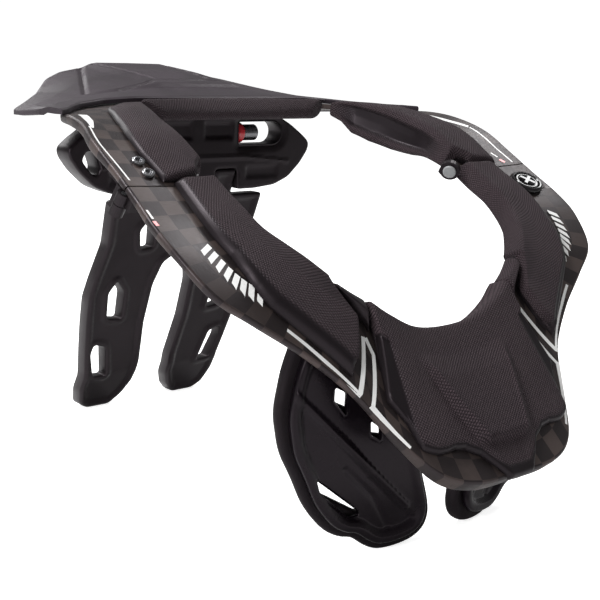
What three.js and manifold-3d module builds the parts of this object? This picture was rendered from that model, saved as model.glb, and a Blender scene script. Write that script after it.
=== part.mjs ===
// Motocross neck brace: a carbon collar that opens at one shoulder, with foam
// pads, a tail plate, a forked back strut and two chest plates.
// Millimetres, +Z up, -Y towards the chest. The brace stands on the feet of its
// strut and on its chest pads, and x = 0 is its mirror plane.
import * as THREE from 'three';
import { mergeVertices } from 'three/addons/utils/BufferGeometryUtils.js';
import Module from 'manifold-3d';

const wasm = await Module();
wasm.setup();

// Collar: overall sizes, then the shell's own
const collarHalfWidth = 138.5;
const collarLength = 205;
const collarHeight = 203;
const shellWall = 3;
const shellInset = 5;
const rimDepth = 8.5;
const seamRow = 10.45;
const seamGap = 0.8;
const seatGap = 0.4;

// Foam on the collar
const padSeat = 7;
const padInnerCrown = 0.6;
const padBorderCrown = 3.4;
const padBevel = 4.5;
const padLip = 1.8;
const wallDepth = 17;
const ridgeHeight = 2.2;
const neckPadDepth = 8.5;
const neckPadDrop = 9.5;
const neckPadCrown = 2.4;

// Hinge at the left seam, latch and release button at the right one
const hingeInboard = 1;
const hingePinRadius = 1.6;
const hingeKnuckleRadius = 3.4;
const hingeKnuckleHeight = 5.6;
const hingeClearance = 0.35;
const hingeLeafLength = 18;
const hingeLeafWidth = 18;
const hingeLeafThick = 2.4;
const hingeWeb = 3.2;
const hingeSeat = 0.8;
const buttonRadius = 6.8;
const buttonStand = 2.4;
const buttonStem = 4.5;
const buttonClearance = 0.4;
const buttonPlace = 9.55;
const buttonShare = 0.68;
const boreReach = 30;
const bezelRadius = 9.8;
const bezelHeight = 2.6;
const bezelWall = 2.4;
const bezelSeat = 0.9;
const tongueWidth = 15;
const tongueThick = 3;
const tongueReach = 9.5;
const tongueTail = 14;
const tongueClearance = 0.7;
const eyeRadius = 5.6;
const eyeThick = 3;
const eyeStand = 6.8;
const eyeSetback = 3;
const eyeArmWidth = 6;
const eyeArmReach = 15;
const eyePinRadius = 3.7;
const eyePinHead = 1.2;
const screwRadius = 3.1;
const screwHead = 1.5;

// Tail plate
const tailOverhang = 74;
const tailThick = 3;
const tailRise = 15.3;
const tailLip = 3;

// Carrier with its adjuster pins, and the forked strut
const carrierHalfWidth = 88;
const carrierHeight = 51;
const carrierDepth = 15;
const carrierSetback = 1.1;
const slotStart = 31;
const slotLength = 34;
const slotHeight = 14;
const slotDrop = 16.5;
const notchStart = 13;
const notchWidth = 17;
const notchHeight = 13;
const pinRadius = 5;
const pinLength = 11;
const pinCollarRadius = 6.3;
const pinCollarLength = 5;
const strutGap = 3.6;
const strutSetback = 3.5;
const strutHalfWidth = 59;
const strutThick = 10;
const strutLean = 0.35;
const footKick = 0.22;
const footKickHeight = 25;

// Chest plates, each with its foam behind it
const chestWidth = 88;
const chestHeight = 112;
const chestMedial = 10;
const chestSetback = 41;
const chestYaw = 11.5;
const chestPlateThick = 4;
const chestPadThick = 8;
const chestPadMargin = 5;
const chestSlotWidth = 4;

const materials = {
  carbon: { color: 0x1d1b1a, roughness: 0.3, metalness: 0.1 },
  foam: { color: 0x1b1c1f, roughness: 0.75, metalness: 0 },
  plastic: { color: 0x101114, roughness: 0.5, metalness: 0 },
  gloss: { color: 0x141518, roughness: 0.25, metalness: 0 },
  steel: { color: 0x44464a, roughness: 0.35, metalness: 0.9 },
  red: { color: 0xb31c20, roughness: 0.4, metalness: 0 },
  grey: { color: 0x8f9296, roughness: 0.45, metalness: 0 },
};

// The collar's top, one row every 15 to 20 mm from the front centre round to the
// rear centre. Places are shares of the collar's half width, length and height;
// seat is the share of padSeat by which the shell dips at its inner edge, and rim
// the share of rimDepth by which its outer edge turns down.
const ringRows = [
  { outX: 0, outY: -0.302, outZ: 0.2315, inX: 0, inY: -0.049, inZ: 0.527, seat: 1, rim: 1 },
  { outX: 0.188, outY: -0.302, outZ: 0.2365, inX: 0.144, inY: -0.048, inZ: 0.537, seat: 1, rim: 1 },
  { outX: 0.325, outY: -0.271, outZ: 0.2635, inX: 0.267, inY: -0.044, inZ: 0.576, seat: 1, rim: 0.9 },
  { outX: 0.426, outY: -0.2, outZ: 0.335, inX: 0.347, inY: -0.034, inZ: 0.611, seat: 1, rim: 0.6 },
  { outX: 0.52, outY: -0.122, outZ: 0.431, inX: 0.415, inY: -0.023, inZ: 0.638, seat: 1, rim: 0.45 },
  { outX: 0.657, outY: -0.069, outZ: 0.517, inX: 0.48, inY: 0.002, inZ: 0.672, seat: 1, rim: 0.4 },
  { outX: 0.809, outY: -0.029, outZ: 0.591, inX: 0.534, inY: 0.039, inZ: 0.709, seat: 1, rim: 0.4 },
  { outX: 0.931, outY: 0.01, outZ: 0.653, inX: 0.574, inY: 0.076, inZ: 0.736, seat: 1, rim: 0.4 },
  { outX: 0.986, outY: 0.088, outZ: 0.727, inX: 0.61, inY: 0.127, inZ: 0.766, seat: 1, rim: 0.4 },
  { outX: 1, outY: 0.161, outZ: 0.776, inX: 0.627, inY: 0.185, inZ: 0.805, seat: 1, rim: 0.45 },
  { outX: 0.991, outY: 0.244, outZ: 0.825, inX: 0.628, inY: 0.254, inZ: 0.841, seat: 1, rim: 0.4 },
  { outX: 0.986, outY: 0.332, outZ: 0.877, inX: 0.628, inY: 0.341, inZ: 0.894, seat: 1, rim: 0.4 },
  { outX: 0.982, outY: 0.429, outZ: 0.931, inX: 0.628, inY: 0.429, inZ: 0.943, seat: 1, rim: 0.6 },
  { outX: 0.946, outY: 0.517, outZ: 0.963, inX: 0.614, inY: 0.517, inZ: 0.97, seat: 1, rim: 0.6 },
  { outX: 0.917, outY: 0.605, outZ: 0.975, inX: 0.585, inY: 0.605, inZ: 0.993, seat: 0.9, rim: 0.6 },
  { outX: 0.874, outY: 0.707, outZ: 0.973, inX: 0.534, inY: 0.698, inZ: 1, seat: 0.5, rim: 0.45 },
  { outX: 0.758, outY: 0.82, outZ: 0.973, inX: 0.455, inY: 0.766, inZ: 0.995, seat: 0.1, rim: 0.4 },
  { outX: 0.578, outY: 0.917, outZ: 0.981, inX: 0.318, inY: 0.79, inZ: 0.995, seat: 0.1, rim: 0.4 },
  { outX: 0.303, outY: 0.971, outZ: 0.99, inX: 0.159, inY: 0.8, inZ: 0.995, seat: 0.1, rim: 0.4 },
  { outX: 0, outY: 0.985, outZ: 0.99, inX: 0, inY: 0.805, inZ: 0.995, seat: 0.1, rim: 0.4 },
];
const rearRow = ringRows.length - 1;
const bridgeTop = ringRows[rearRow].outZ * collarHeight;
const bridgeReach = ringRows[rearRow].outY * collarLength;

// Straight interpolation in a short table of [place, value] pairs
function between(table, place) {
  const last = table.length - 1;
  const found = table.findIndex(([at]) => at >= place);
  const i = found < 0 ? last : Math.max(found, 1);
  const [[a, from], [b, to]] = [table[i - 1], table[i]];
  return THREE.MathUtils.lerp(from, to, THREE.MathUtils.clamp((place - a) / (b - a), 0, 1));
}

// Rows carry on past both ends of the table as its mirror image, so that a place
// along the collar runs from -rearRow to 2 * rearRow without a break.
function ringRow(index) {
  const folded = Math.abs(index);
  const beyond = folded > rearRow;
  const side = (index < 0 ? -1 : 1) * (beyond ? -1 : 1);
  const row = ringRows[beyond ? 2 * rearRow - folded : folded];
  return {
    outer: new THREE.Vector3(side * row.outX * collarHalfWidth, row.outY * collarLength, row.outZ * collarHeight),
    inner: new THREE.Vector3(side * row.inX * collarHalfWidth, row.inY * collarLength, row.inZ * collarHeight),
    trim: new THREE.Vector3(row.seat, row.rim, 0),
  };
}

function rail(place, key) {
  const start = Math.floor(place);
  const f = place - start;
  const [a, b, c, d] = [-1, 0, 1, 2].map((step) => ringRow(start + step)[key]);
  const blend = (k) =>
    b[k] + 0.5 * f * (c[k] - a[k] + f * (2 * a[k] - 5 * b[k] + 4 * c[k] - d[k] + f * (3 * (b[k] - c[k]) + d[k] - a[k])));
  return new THREE.Vector3(blend('x'), blend('y'), blend('z'));
}

// Local directions at a place: across runs outwards, along to the rear, normal up
function collarFrame(place) {
  const middle = (at) => rail(at, 'inner').add(rail(at, 'outer')).multiplyScalar(0.5);
  const inner = rail(place, 'inner');
  const across = rail(place, 'outer').sub(inner);
  const width = across.length();
  across.normalize();
  const along = middle(place + 0.01).sub(middle(place - 0.01)).normalize();
  const normal = new THREE.Vector3().crossVectors(across, along).normalize();
  if (normal.z < 0) normal.negate();
  const trim = rail(place, 'trim');
  return { inner, across, along, normal, width, seat: trim.x * padSeat, rim: trim.y * rimDepth };
}

// A point by its share of the collar's width, plus millimetres outwards and
// millimetres above the shell's top
function collarPoint(place, { share, out = 0, rise = 0 }) {
  const { inner, across, normal, width, seat } = collarFrame(place);
  return inner
    .clone()
    .addScaledVector(across, width * share + out)
    .addScaledVector(normal, rise - seat * (1 - share));
}

// Rows of the table per millimetre along the collar, at the seam
const rowsPerMm = 1 / rail(seamRow - 0.5, 'outer').distanceTo(rail(seamRow + 0.5, 'outer'));
const halfSeam = (seamGap / 2) * rowsPerMm;

function facetedSolid(positions, faces) {
  const corner = (i) => new THREE.Vector3().fromArray(positions, 3 * i);
  let volume = 0;
  for (let f = 0; f < faces.length; f += 3) {
    volume += corner(faces[f]).dot(corner(faces[f + 1]).cross(corner(faces[f + 2])));
  }
  const geometry = new THREE.BufferGeometry();
  geometry.setAttribute('position', new THREE.Float32BufferAttribute(positions, 3));
  geometry.setIndex(volume < 0 ? faces.slice().reverse() : faces);
  return geometry;
}

// A closed body through rings of points; flats holds each end ring drawn flat
function loft(rings, flats) {
  const count = rings[0].length;
  const faces = [];
  for (let r = 0; r + 1 < rings.length; r++) {
    for (let k = 0; k < count; k++) {
      const a = r * count + k;
      const b = r * count + ((k + 1) % count);
      faces.push(a, b, b + count, a, b + count, a + count);
    }
  }
  flats.forEach((flat, end) => {
    const start = end * (rings.length - 1) * count;
    const turns = Math.sign(THREE.ShapeUtils.area(flat)) * (end ? 1 : -1);
    for (const face of THREE.ShapeUtils.triangulateShape(flat, [])) {
      const way = Math.sign(THREE.ShapeUtils.area(face.map((i) => flat[i])));
      faces.push(...(way === turns ? face : face.slice().reverse()).map((i) => i + start));
    }
  });
  return facetedSolid(rings.flat().flatMap((p) => p.toArray()), faces);
}

// Lofts a section along the collar. span gives the place of a point from the
// station (0 to 1) and its share, so that the ends may run at a slant.
function collarLoft({ stations, span, section }) {
  const sections = stations.map((station) => section(station));
  const rings = sections.map((points, i) =>
    points.map((point) => collarPoint(span(stations[i], point.share), point)));
  const flats = [0, stations.length - 1].map((i) =>
    sections[i].map((point) => {
      const { width } = collarFrame(span(stations[i], point.share));
      return new THREE.Vector2(width * point.share + (point.out ?? 0), point.rise);
    }));
  return loft(rings, flats);
}

const evenly = (count) => Array.from({ length: count + 1 }, (_, i) => i / count);

function toManifold(geometry) {
  const bare = geometry.clone();
  for (const name of Object.keys(bare.attributes)) {
    if (name !== 'position') bare.deleteAttribute(name);
  }
  const merged = mergeVertices(bare, 1e-4);
  const mesh = new wasm.Mesh({
    numProp: 3,
    vertProperties: new Float32Array(merged.attributes.position.array),
    triVerts: new Uint32Array(merged.index.array),
  });
  mesh.merge();
  return new wasm.Manifold(mesh);
}

function fromManifold(solid) {
  const mesh = solid.getMesh();
  const geometry = new THREE.BufferGeometry();
  geometry.setAttribute('position', new THREE.BufferAttribute(mesh.vertProperties, 3));
  geometry.setIndex(new THREE.BufferAttribute(mesh.triVerts, 1));
  return geometry;
}

const cut = (geometry, ...tools) =>
  fromManifold(tools.reduce((solid, tool) => solid.subtract(toManifold(tool)), toManifold(geometry)));
const fuse = (geometry, ...others) =>
  fromManifold(others.reduce((solid, other) => solid.add(toManifold(other)), toManifold(geometry)));

// Shapes drawn in x and z, thickened along y about the given reach
function upright(shape, reach, thickness) {
  const geometry = new THREE.ExtrudeGeometry(shape, { depth: thickness, bevelEnabled: false, curveSegments: 5 });
  return geometry.rotateX(Math.PI / 2).translate(0, reach + thickness / 2, 0);
}

// An outline always runs anticlockwise, whichever side it was mirrored to
function outline(points) {
  const path = points.map(([x, z]) => new THREE.Vector2(x, z));
  return new THREE.Shape(THREE.ShapeUtils.isClockWise(path) ? path.reverse() : path);
}
const hole = (points, reach, thickness) => upright(outline(points), reach, thickness + 2);
const pairOfHoles = (points, reach, thickness) =>
  [-1, 1].map((side) => hole(points.map(([x, z]) => [side * x, z]), reach, thickness));
const mirrored = (points) => [...points, ...points.filter(([x]) => x > 0).map(([x, z]) => [-x, z]).reverse()];

// A frame of reference on the shell, for pieces that are modelled flat and then
// seated: x towards the right arm, y to the rear, z up from the shell's top
function collarBasis(place, share, out = 0) {
  const right = collarPoint(place, { share: 1 })
    .sub(collarPoint(place, { share: 0.5 }))
    .multiplyScalar(Math.sign(place))
    .normalize();
  const rearwards = new THREE.Vector3().crossVectors(collarFrame(place).normal, right).normalize();
  const normal = new THREE.Vector3().crossVectors(right, rearwards);
  return new THREE.Matrix4()
    .makeBasis(right, rearwards, normal)
    .setPosition(collarPoint(place, { share, out }));
}

const box = ([x0, x1], [y0, y1], [z0, z1]) =>
  new THREE.BoxGeometry(x1 - x0, y1 - y0, z1 - z0)
    .translate((x0 + x1) / 2, (y0 + y1) / 2, (z0 + z1) / 2);
const disc = (radius, z0, z1, sides = 20) =>
  new THREE.CylinderGeometry(radius, radius, z1 - z0, sides).rotateX(Math.PI / 2).translate(0, 0, (z0 + z1) / 2);

// Shell section, from the inner edge over the top and round the turned-down rim
function shellSection(place, grow = 0) {
  const rim = Math.max(collarFrame(place).rim, shellWall + 0.2) + grow;
  const wall = shellWall + grow;
  return [
    { share: 0, out: shellInset - grow, rise: grow },
    { share: 0.5, rise: grow },
    { share: 1, out: -1.6, rise: grow },
    { share: 1, out: grow, rise: -1.6 },
    { share: 1, out: grow, rise: -rim },
    { share: 1, out: -wall, rise: -rim },
    { share: 1, out: -wall, rise: -wall },
    { share: 0.5, rise: -wall },
    { share: 0, out: shellInset - grow, rise: -wall },
  ];
}

function shell(from, to, count) {
  const span = (station) => from + (to - from) * station;
  return collarLoft({ stations: evenly(count), span, section: (station) => shellSection(span(station)) });
}

// Everything above the front shell's underside, to trim what seats against it
const trimHeight = 34;
function aboveFrontShell(from, to, count) {
  const span = (station) => from + (to - from) * station;
  const section = (station) => {
    const under = shellSection(span(station), seatGap).slice(3);
    return [...under, { share: 0, out: -trimHeight, rise: trimHeight }, { share: 1, out: seatGap, rise: trimHeight }];
  };
  return collarLoft({ stations: evenly(count), span, section });
}

// Pads swell quickly from their ends to full height
const padStations = (count) => [0, 0.02, ...evenly(count).slice(1, -1), 0.98, 1];
const padEnd = (station) => between([[0, 0.35], [0.05, 1]], Math.min(station, 1 - station));

// Height of the foam's top over the shell at a share of the collar's width
function padTop(place, share, extra = 0) {
  const { seat } = collarFrame(place);
  return seat * (1 - share) + THREE.MathUtils.lerp(padInnerCrown, padBorderCrown, share) + extra;
}

// Pad section: the underside lies on the shell, the lip hangs over its inner
// edge down to depth, the top runs out to a bevelled border
function padSection({ place, border, end, depth, tops, extra = () => 0 }) {
  const top = (share) => seatGap + (padTop(place, share, extra(share)) - seatGap) * end;
  const hang = shellInset - seatGap;
  return [
    ...[1, 0.75, 0.5, 0.25].map((f) => ({ share: border * f, rise: seatGap })),
    { share: 0.06, rise: seatGap },
    { share: 0, out: hang, rise: seatGap },
    { share: 0, out: hang, rise: 1 - depth },
    { share: 0, out: hang * 0.4, rise: -depth },
    { share: 0, out: -padLip, rise: 2.5 - depth },
    { share: 0, out: -padLip * 0.6, rise: -depth * 0.4 },
    { share: 0, out: 0, rise: top(0) * 0.72 },
    { share: 0, out: 2, rise: top(0) },
    ...tops.map((f) => ({ share: border * f, out: 4 * (1 - f) - padBevel * f, rise: top(border * f) })),
    { share: border, out: -padBevel * 0.25, rise: seatGap + (top(border) - seatGap) * 0.5 },
  ];
}

// Outer borders of the pads, as [place along the collar, share of its width]
const sideBorder = [
  [4, 0.86], [5, 0.82], [5.9, 0.75], [6.5, 0.65], [7, 0.58], [7.6, 0.52], [8.5, 0.5], [10.4, 0.46],
];
const rearBorder = [[10.4, 0.56], [11.5, 0.59], [12.5, 0.57], [13.5, 0.53], [14.5, 0.47], [15.7, 0.4]];
const chestBorder = [
  [0, 0.97], [0.35, 0.96], [0.6, 0.91], [1, 0.84], [1.4, 0.83], [1.9, 0.86], [2.4, 0.9], [2.6, 0.8], [3.1, 0.74],
];
// Slanted ends of the pads, as [share of the width, place along the collar]
const sideEnd = [[0, 5.35], [0.12, 4.3], [0.25, 3.7], [0.6, 3.85], [0.86, 4.05]];
const linkEnd = [[0, 4.65], [0.12, 3.45], [0.25, 3]];
const rearEnd = [[0, 11.02], [0.12, 10.62], [0.3, 10.56]];
const chestEnd = [[0, 3], [0.25, 2.9], [0.72, 3.1], [1, 3]];
// Depth of the rear pads' inner wall, as [place along the collar, share of wallDepth]
const rearWall = [[10.4, 0.3], [11, 0.43], [12, 0.76], [13, 0.94], [14, 0.97], [14.6, 0.88], [15, 0.58], [15.7, 0.32]];

function sidePad(side) {
  const rear = seamRow + 0.05;
  const span = (station, share) => side * THREE.MathUtils.lerp(between(sideEnd, share), rear, station);
  const section = (station) => {
    const place = Math.abs(span(station, 0.5));
    const thick = between([[4, 2.6], [6, 2.2], [7.5, 0.4]], place);
    return padSection({
      place,
      border: between(sideBorder, place),
      end: padEnd(station),
      depth: shellWall + 2,
      tops: [0.15, 0.45, 0.75, 1],
      extra: (share) => thick * share,
    });
  };
  return collarLoft({ stations: padStations(20), span, section });
}

function rearPad(side) {
  const span = (station, share) => side * THREE.MathUtils.lerp(between(rearEnd, share), 15.65 - 0.5 * share, station);
  const section = (station) => {
    const place = Math.abs(span(station, 0.3));
    return padSection({
      place,
      border: between(rearBorder, place),
      end: padEnd(station),
      depth: wallDepth * between(rearWall, place),
      tops: [0.15, 0.45, 0.75, 1],
    });
  };
  return collarLoft({ stations: padStations(18), span, section });
}

// Raised panel in the middle of the chest pad, wide at the neck
function chestRidge(place, share) {
  const halfSpan = between([[0.25, 1.35], [0.8, 0.62]], share);
  const inside = between([[halfSpan - 0.12, 1], [halfSpan + 0.12, 0]], Math.abs(place));
  return ridgeHeight * inside * between([[0.15, 0], [0.3, 1], [0.76, 1], [0.86, 0]], share);
}

function chestPadOnCollar() {
  const span = (station, share) => (2 * station - 1) * between(chestEnd, share);
  const section = (station) => {
    const place = span(station, 0.8);
    return padSection({
      place: Math.abs(place),
      border: between(chestBorder, Math.abs(place)),
      end: padEnd(station),
      depth: shellWall + 3,
      tops: [0.12, 0.25, 0.36, 0.5, 0.62, 0.74, 0.84, 0.92, 1],
      extra: (share) => chestRidge(place, share),
    });
  };
  return collarLoft({ stations: padStations(30), span, section });
}

// Smooth strip that carries the inner roll from the chest pad to the side pad
function padLink(side) {
  const start = between(chestEnd, 0) + 0.12;
  const span = (station, share) => side * THREE.MathUtils.lerp(start, between(linkEnd, share), station);
  const section = (station) => {
    const reach = THREE.MathUtils.lerp(0.16, 0.03, station);
    const top = seatGap + (padTop(start, 0) - seatGap) * padEnd(station) * 0.8;
    const hang = shellInset - seatGap;
    const depth = shellWall + 1.5;
    return [
      { share: reach, out: hang, rise: seatGap },
      { share: 0, out: hang, rise: seatGap },
      { share: 0, out: hang, rise: -depth },
      { share: 0, out: 0.5, rise: -depth },
      { share: 0, out: -padLip * 0.5, rise: -1 },
      { share: 0, out: 0.6, rise: top * 0.8 },
      { share: reach * 0.4, out: 2.2, rise: top },
      { share: reach, out: hang - 1.2, rise: seatGap + top * 0.4 },
    ];
  };
  return collarLoft({ stations: padStations(6), span, section });
}

function neckPad() {
  const start = 16.12;
  const span = (station) => start + 2 * (rearRow - start) * station;
  const section = (station) => {
    const end = padEnd(station);
    const hang = shellInset - seatGap;
    return [
      { share: 0, out: hang, rise: 1 - neckPadDrop * end },
      { share: 0, out: 0, rise: -neckPadDrop * end },
      { share: 0, out: 1.5 - neckPadDepth * end, rise: 0.6 - neckPadDrop * end },
      { share: 0, out: -neckPadDepth * end, rise: 3 - neckPadDrop * end },
      { share: 0, out: 1 - neckPadDepth * end, rise: -neckPadDrop * 0.35 * end },
      { share: 0, out: -neckPadDepth * 0.35 * end, rise: 0.6 * end },
      { share: 0, out: 0.5, rise: neckPadCrown * end + 0.2 },
      { share: 0, out: hang, rise: neckPadCrown * end + seatGap },
    ];
  };
  return collarLoft({ stations: padStations(16), span, section });
}

// Tail plate, in sections across the brace. Side distances are shares of the
// collar's half width, the front edge and the crease behind the neck are shares
// of its length, the rear edge is a share of the overhang, and the rises are
// shares of tailRise.
const tailRows = [
  { x: 0, front: 0.834, frontRise: 0, crease: 0.961, creaseRise: 0.24, step: 0.16, rear: 1, rearRise: 1 },
  { x: 0.188, front: 0.834, frontRise: 0, crease: 0.961, creaseRise: 0.24, step: 0.16, rear: 0.989, rearRise: 0.99 },
  { x: 0.238, front: 0.834, frontRise: 0, crease: 0.962, creaseRise: 0.22, step: 0.1, rear: 0.989, rearRise: 0.79 },
  { x: 0.347, front: 0.834, frontRise: 0, crease: 0.966, creaseRise: 0.14, step: 0.08, rear: 1, rearRise: 0.6 },
  { x: 0.44, front: 0.834, frontRise: 0, crease: 0.97, creaseRise: 0.04, step: 0.06, rear: 0.905, rearRise: 0.34 },
  { x: 0.57, front: 0.844, frontRise: -0.08, crease: 0.939, creaseRise: -0.08, step: 0, rear: 0.608, rearRise: -0.14 },
  { x: 0.7, front: 0.81, frontRise: -0.18, crease: 0.871, creaseRise: -0.19, step: 0, rear: 0.351, rearRise: -0.42 },
  { x: 0.794, front: 0.742, frontRise: -0.23, crease: 0.817, creaseRise: -0.24, step: 0, rear: 0.17, rearRise: -0.6 },
  { x: 0.852, front: 0.687, frontRise: -0.24, crease: 0.749, creaseRise: -0.26, step: 0, rear: -0.131, rearRise: -0.55 },
  { x: 0.903, front: 0.66, frontRise: -0.26, crease: 0.687, creaseRise: -0.27, step: 0, rear: -0.62, rearRise: -0.36 },
];
const tailFrontHeight = bridgeTop + 2 * seatGap + tailThick;

function tailPlate() {
  const half = tailRows.slice(1).reverse().map((row) => ({ ...row, x: -row.x }));
  const sections = [...half, ...tailRows].map((row) => {
    const height = (rise) => tailFrontHeight + tailRise * rise;
    const front = row.front * collarLength;
    const crease = row.crease * collarLength;
    const rear = collarLength + row.rear * tailOverhang;
    const middle = THREE.MathUtils.lerp(crease, rear, 0.5);
    const middleRise = (row.creaseRise + row.step + row.rearRise) / 2 + 0.05;
    const lip = tailThick + tailLip * THREE.MathUtils.clamp(row.rear, 0, 1);
    const top = [
      [front, height(row.frontRise) - 1],
      [front + 2, height(row.frontRise)],
      [crease, height(row.creaseRise)],
      [crease + 2, height(row.creaseRise + row.step)],
      [middle, height(middleRise)],
      [rear - 2, height(row.rearRise)],
      [rear, height(row.rearRise) - 1],
    ];
    const under = [
      [rear, height(row.rearRise) - lip],
      [rear - 3, height(row.rearRise) - lip],
      [rear - 5, height(row.rearRise) - tailThick],
      [middle, height(middleRise) - tailThick],
      [crease + 2, height(row.creaseRise) - tailThick],
      [front + 2, height(row.frontRise) - tailThick],
      [front, height(row.frontRise) - tailThick],
    ];
    return { x: row.x * collarHalfWidth, points: [...top, ...under] };
  });
  const rings = sections.map(({ x, points }) => points.map(([y, z]) => new THREE.Vector3(x, y, z)));
  const flats = [sections[0], sections.at(-1)].map(({ points }) => points.map(([y, z]) => new THREE.Vector2(y, z)));
  return loft(rings, flats);
}

// The carrier hangs from the underside of the shell's rear bridge
const carrierReach = bridgeReach + carrierSetback;
const carrierTop = bridgeTop - shellWall - 2 * seatGap;
const carrierFloor = carrierTop - carrierHeight;
const slotMiddle = carrierTop - slotDrop;

// Half outlines as shares of [half width, height], from the top centre outwards
const carrierOutline = [
  [0, 1], [0.36, 1], [0.66, 0.92], [0.82, 0.78], [0.94, 0.64], [1, 0.55], [0.99, 0.45], [0.92, 0.29],
  [0.81, 0.12], [0.68, 0.03], [0.5, 0],
];

function carrier() {
  const body = carrierOutline.map(([x, z]) => [x * carrierHalfWidth, carrierFloor + z * carrierHeight]);
  const notch = [
    [notchStart + notchWidth, carrierFloor], [notchStart + notchWidth, carrierFloor + notchHeight],
    [notchStart, carrierFloor + notchHeight], [notchStart, carrierFloor],
  ];
  const whole = upright(outline(mirrored([...body, ...notch])), carrierReach, carrierDepth);
  const round = slotHeight / 2;
  const arc = evenly(8).map((f) => -Math.PI / 2 + Math.PI * f);
  const slot = [
    [slotStart, slotMiddle - round],
    ...arc.map((a) => [slotStart + slotLength - round + round * Math.cos(a), slotMiddle + round * Math.sin(a)]),
    [slotStart, slotMiddle + round],
  ];
  return cut(whole, ...pairOfHoles(slot, carrierReach, carrierDepth));
}

function adjuster(side, from, length, radius) {
  const x = side * (slotStart + from + length / 2);
  return new THREE.CylinderGeometry(radius, radius, length, 18)
    .rotateZ(Math.PI / 2)
    .translate(x, carrierReach, slotMiddle);
}

// Strut: half outline as shares of its half width and height, from the lug round
// the outside of the leg to its foot and up the inside to the arch
const strutOutline = [
  [0.93, 1], [0.92, 0.93], [0.9, 0.81], [0.97, 0.66], [1, 0.57], [0.97, 0.45], [0.92, 0.31], [0.87, 0.19],
  [0.87, 0.11], [0.81, 0.03], [0.7, 0], [0.42, 0], [0.3, 0.05], [0.22, 0.12], [0.2, 0.22], [0.22, 0.3],
  [0.25, 0.42], [0.24, 0.6], [0.17, 0.7], [0, 0.75],
];
const strutHoles = [
  [[0.34, 0.78], [0.49, 0.775], [0.54, 0.86], [0.46, 0.905], [0.38, 0.88]],
  [[0.55, 0.45], [0.73, 0.46], [0.77, 0.58], [0.69, 0.635], [0.58, 0.58]],
  [[0.6, 0.17], [0.76, 0.175], [0.84, 0.29], [0.82, 0.335], [0.68, 0.32]],
];
const strutTop = carrierFloor - strutGap;
const strutReach = carrierReach + strutSetback;

function leanStrut(geometry) {
  const position = geometry.attributes.position;
  for (let i = 0; i < position.count; i++) {
    const z = position.getZ(i);
    const kick = footKick * Math.max(footKickHeight - z, 0);
    position.setY(i, position.getY(i) + strutLean * (strutTop - z) + kick);
  }
  return geometry;
}

function strut() {
  const scaled = (points) => points.map(([x, z]) => [x * strutHalfWidth, z * strutTop]);
  const lugTop = carrierFloor + notchHeight - seatGap;
  const lug = [
    [notchStart + seatGap, strutTop], [notchStart + seatGap, lugTop],
    [notchStart + notchWidth - seatGap, lugTop], [notchStart + notchWidth - seatGap, strutTop],
  ];
  const whole = upright(outline(mirrored([...lug, ...scaled(strutOutline)])), strutReach, strutThick);
  const holes = strutHoles.flatMap((points) => pairOfHoles(scaled(points), strutReach, strutThick));
  return leanStrut(cut(whole, ...holes));
}

// Chest plate: outline as shares of its width and height, from the top of the
// outer edge down and round to the inner edge, then up behind the collar
const chestOutline = [
  [0.88, 1], [0.95, 0.85], [0.99, 0.67], [0.95, 0.5], [0.87, 0.38], [0.81, 0.27], [0.75, 0.2], [0.67, 0.13],
  [0.58, 0.09], [0.5, 0.08], [0.42, 0.03], [0.34, 0], [0.22, 0], [0.1, 0.02], [0.03, 0.06], [0, 0.12],
  [0.01, 0.19], [0.06, 0.32], [0.13, 0.5], [0.24, 0.68], [0.42, 0.8], [0.62, 0.9], [0.76, 1.03],
  [0.8, 1.16], [0.88, 1.16],
];
const chestWindows = [
  [[0.62, 0.62], [0.71, 0.66], [0.74, 0.84], [0.64, 0.86]],
  [[0.36, 0.5], [0.44, 0.54], [0.47, 0.74], [0.39, 0.72]],
];
const chestSlot = [[0.76, 0.36], [0.5, 0.19]];

function chestPiece(side, { inset, near, thick }) {
  const [cx, cz] = [0.5, 0.5];
  const fitX = 1 - (2 * inset) / chestWidth;
  const fitZ = 1 - (2 * inset) / chestHeight;
  const place = ([x, z], fx = 1, fz = 1) => [
    side * (chestMedial + chestWidth * (cx + (x - cx) * fx)),
    chestHeight * (cz + (z - cz) * fz),
  ];
  const shape = outline(chestOutline.map((point) => place(point, fitX, fitZ)));
  const [[ax, az], [bx, bz]] = chestSlot.map((point) => place(point));
  const lift = new THREE.Vector2(bz - az, ax - bx).setLength(chestSlotWidth / 2);
  const slot = [[ax + lift.x, az + lift.y], [bx + lift.x, bz + lift.y], [bx - lift.x, bz - lift.y], [ax - lift.x, az - lift.y]];
  const openings = [...chestWindows.map((window) => window.map((point) => place(point))), slot];
  const middle = near + thick / 2;
  return cut(upright(shape, middle, thick), ...openings.map((points) => hole(points, middle, thick)))
    .translate(-side * chestMedial, 0, 0)
    .rotateZ(side * THREE.MathUtils.degToRad(chestYaw))
    .translate(side * chestMedial, ringRows[0].outY * collarLength + chestSetback, 0);
}

// Hinge: knuckles below the shell at the left seam's outer edge, on a leaf each
const knuckleTop = -shellWall - hingeSeat;
const knuckleSplit = knuckleTop - hingeKnuckleHeight;
const hingeSpot = collarBasis(-seamRow, 1, -hingeInboard);

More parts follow.
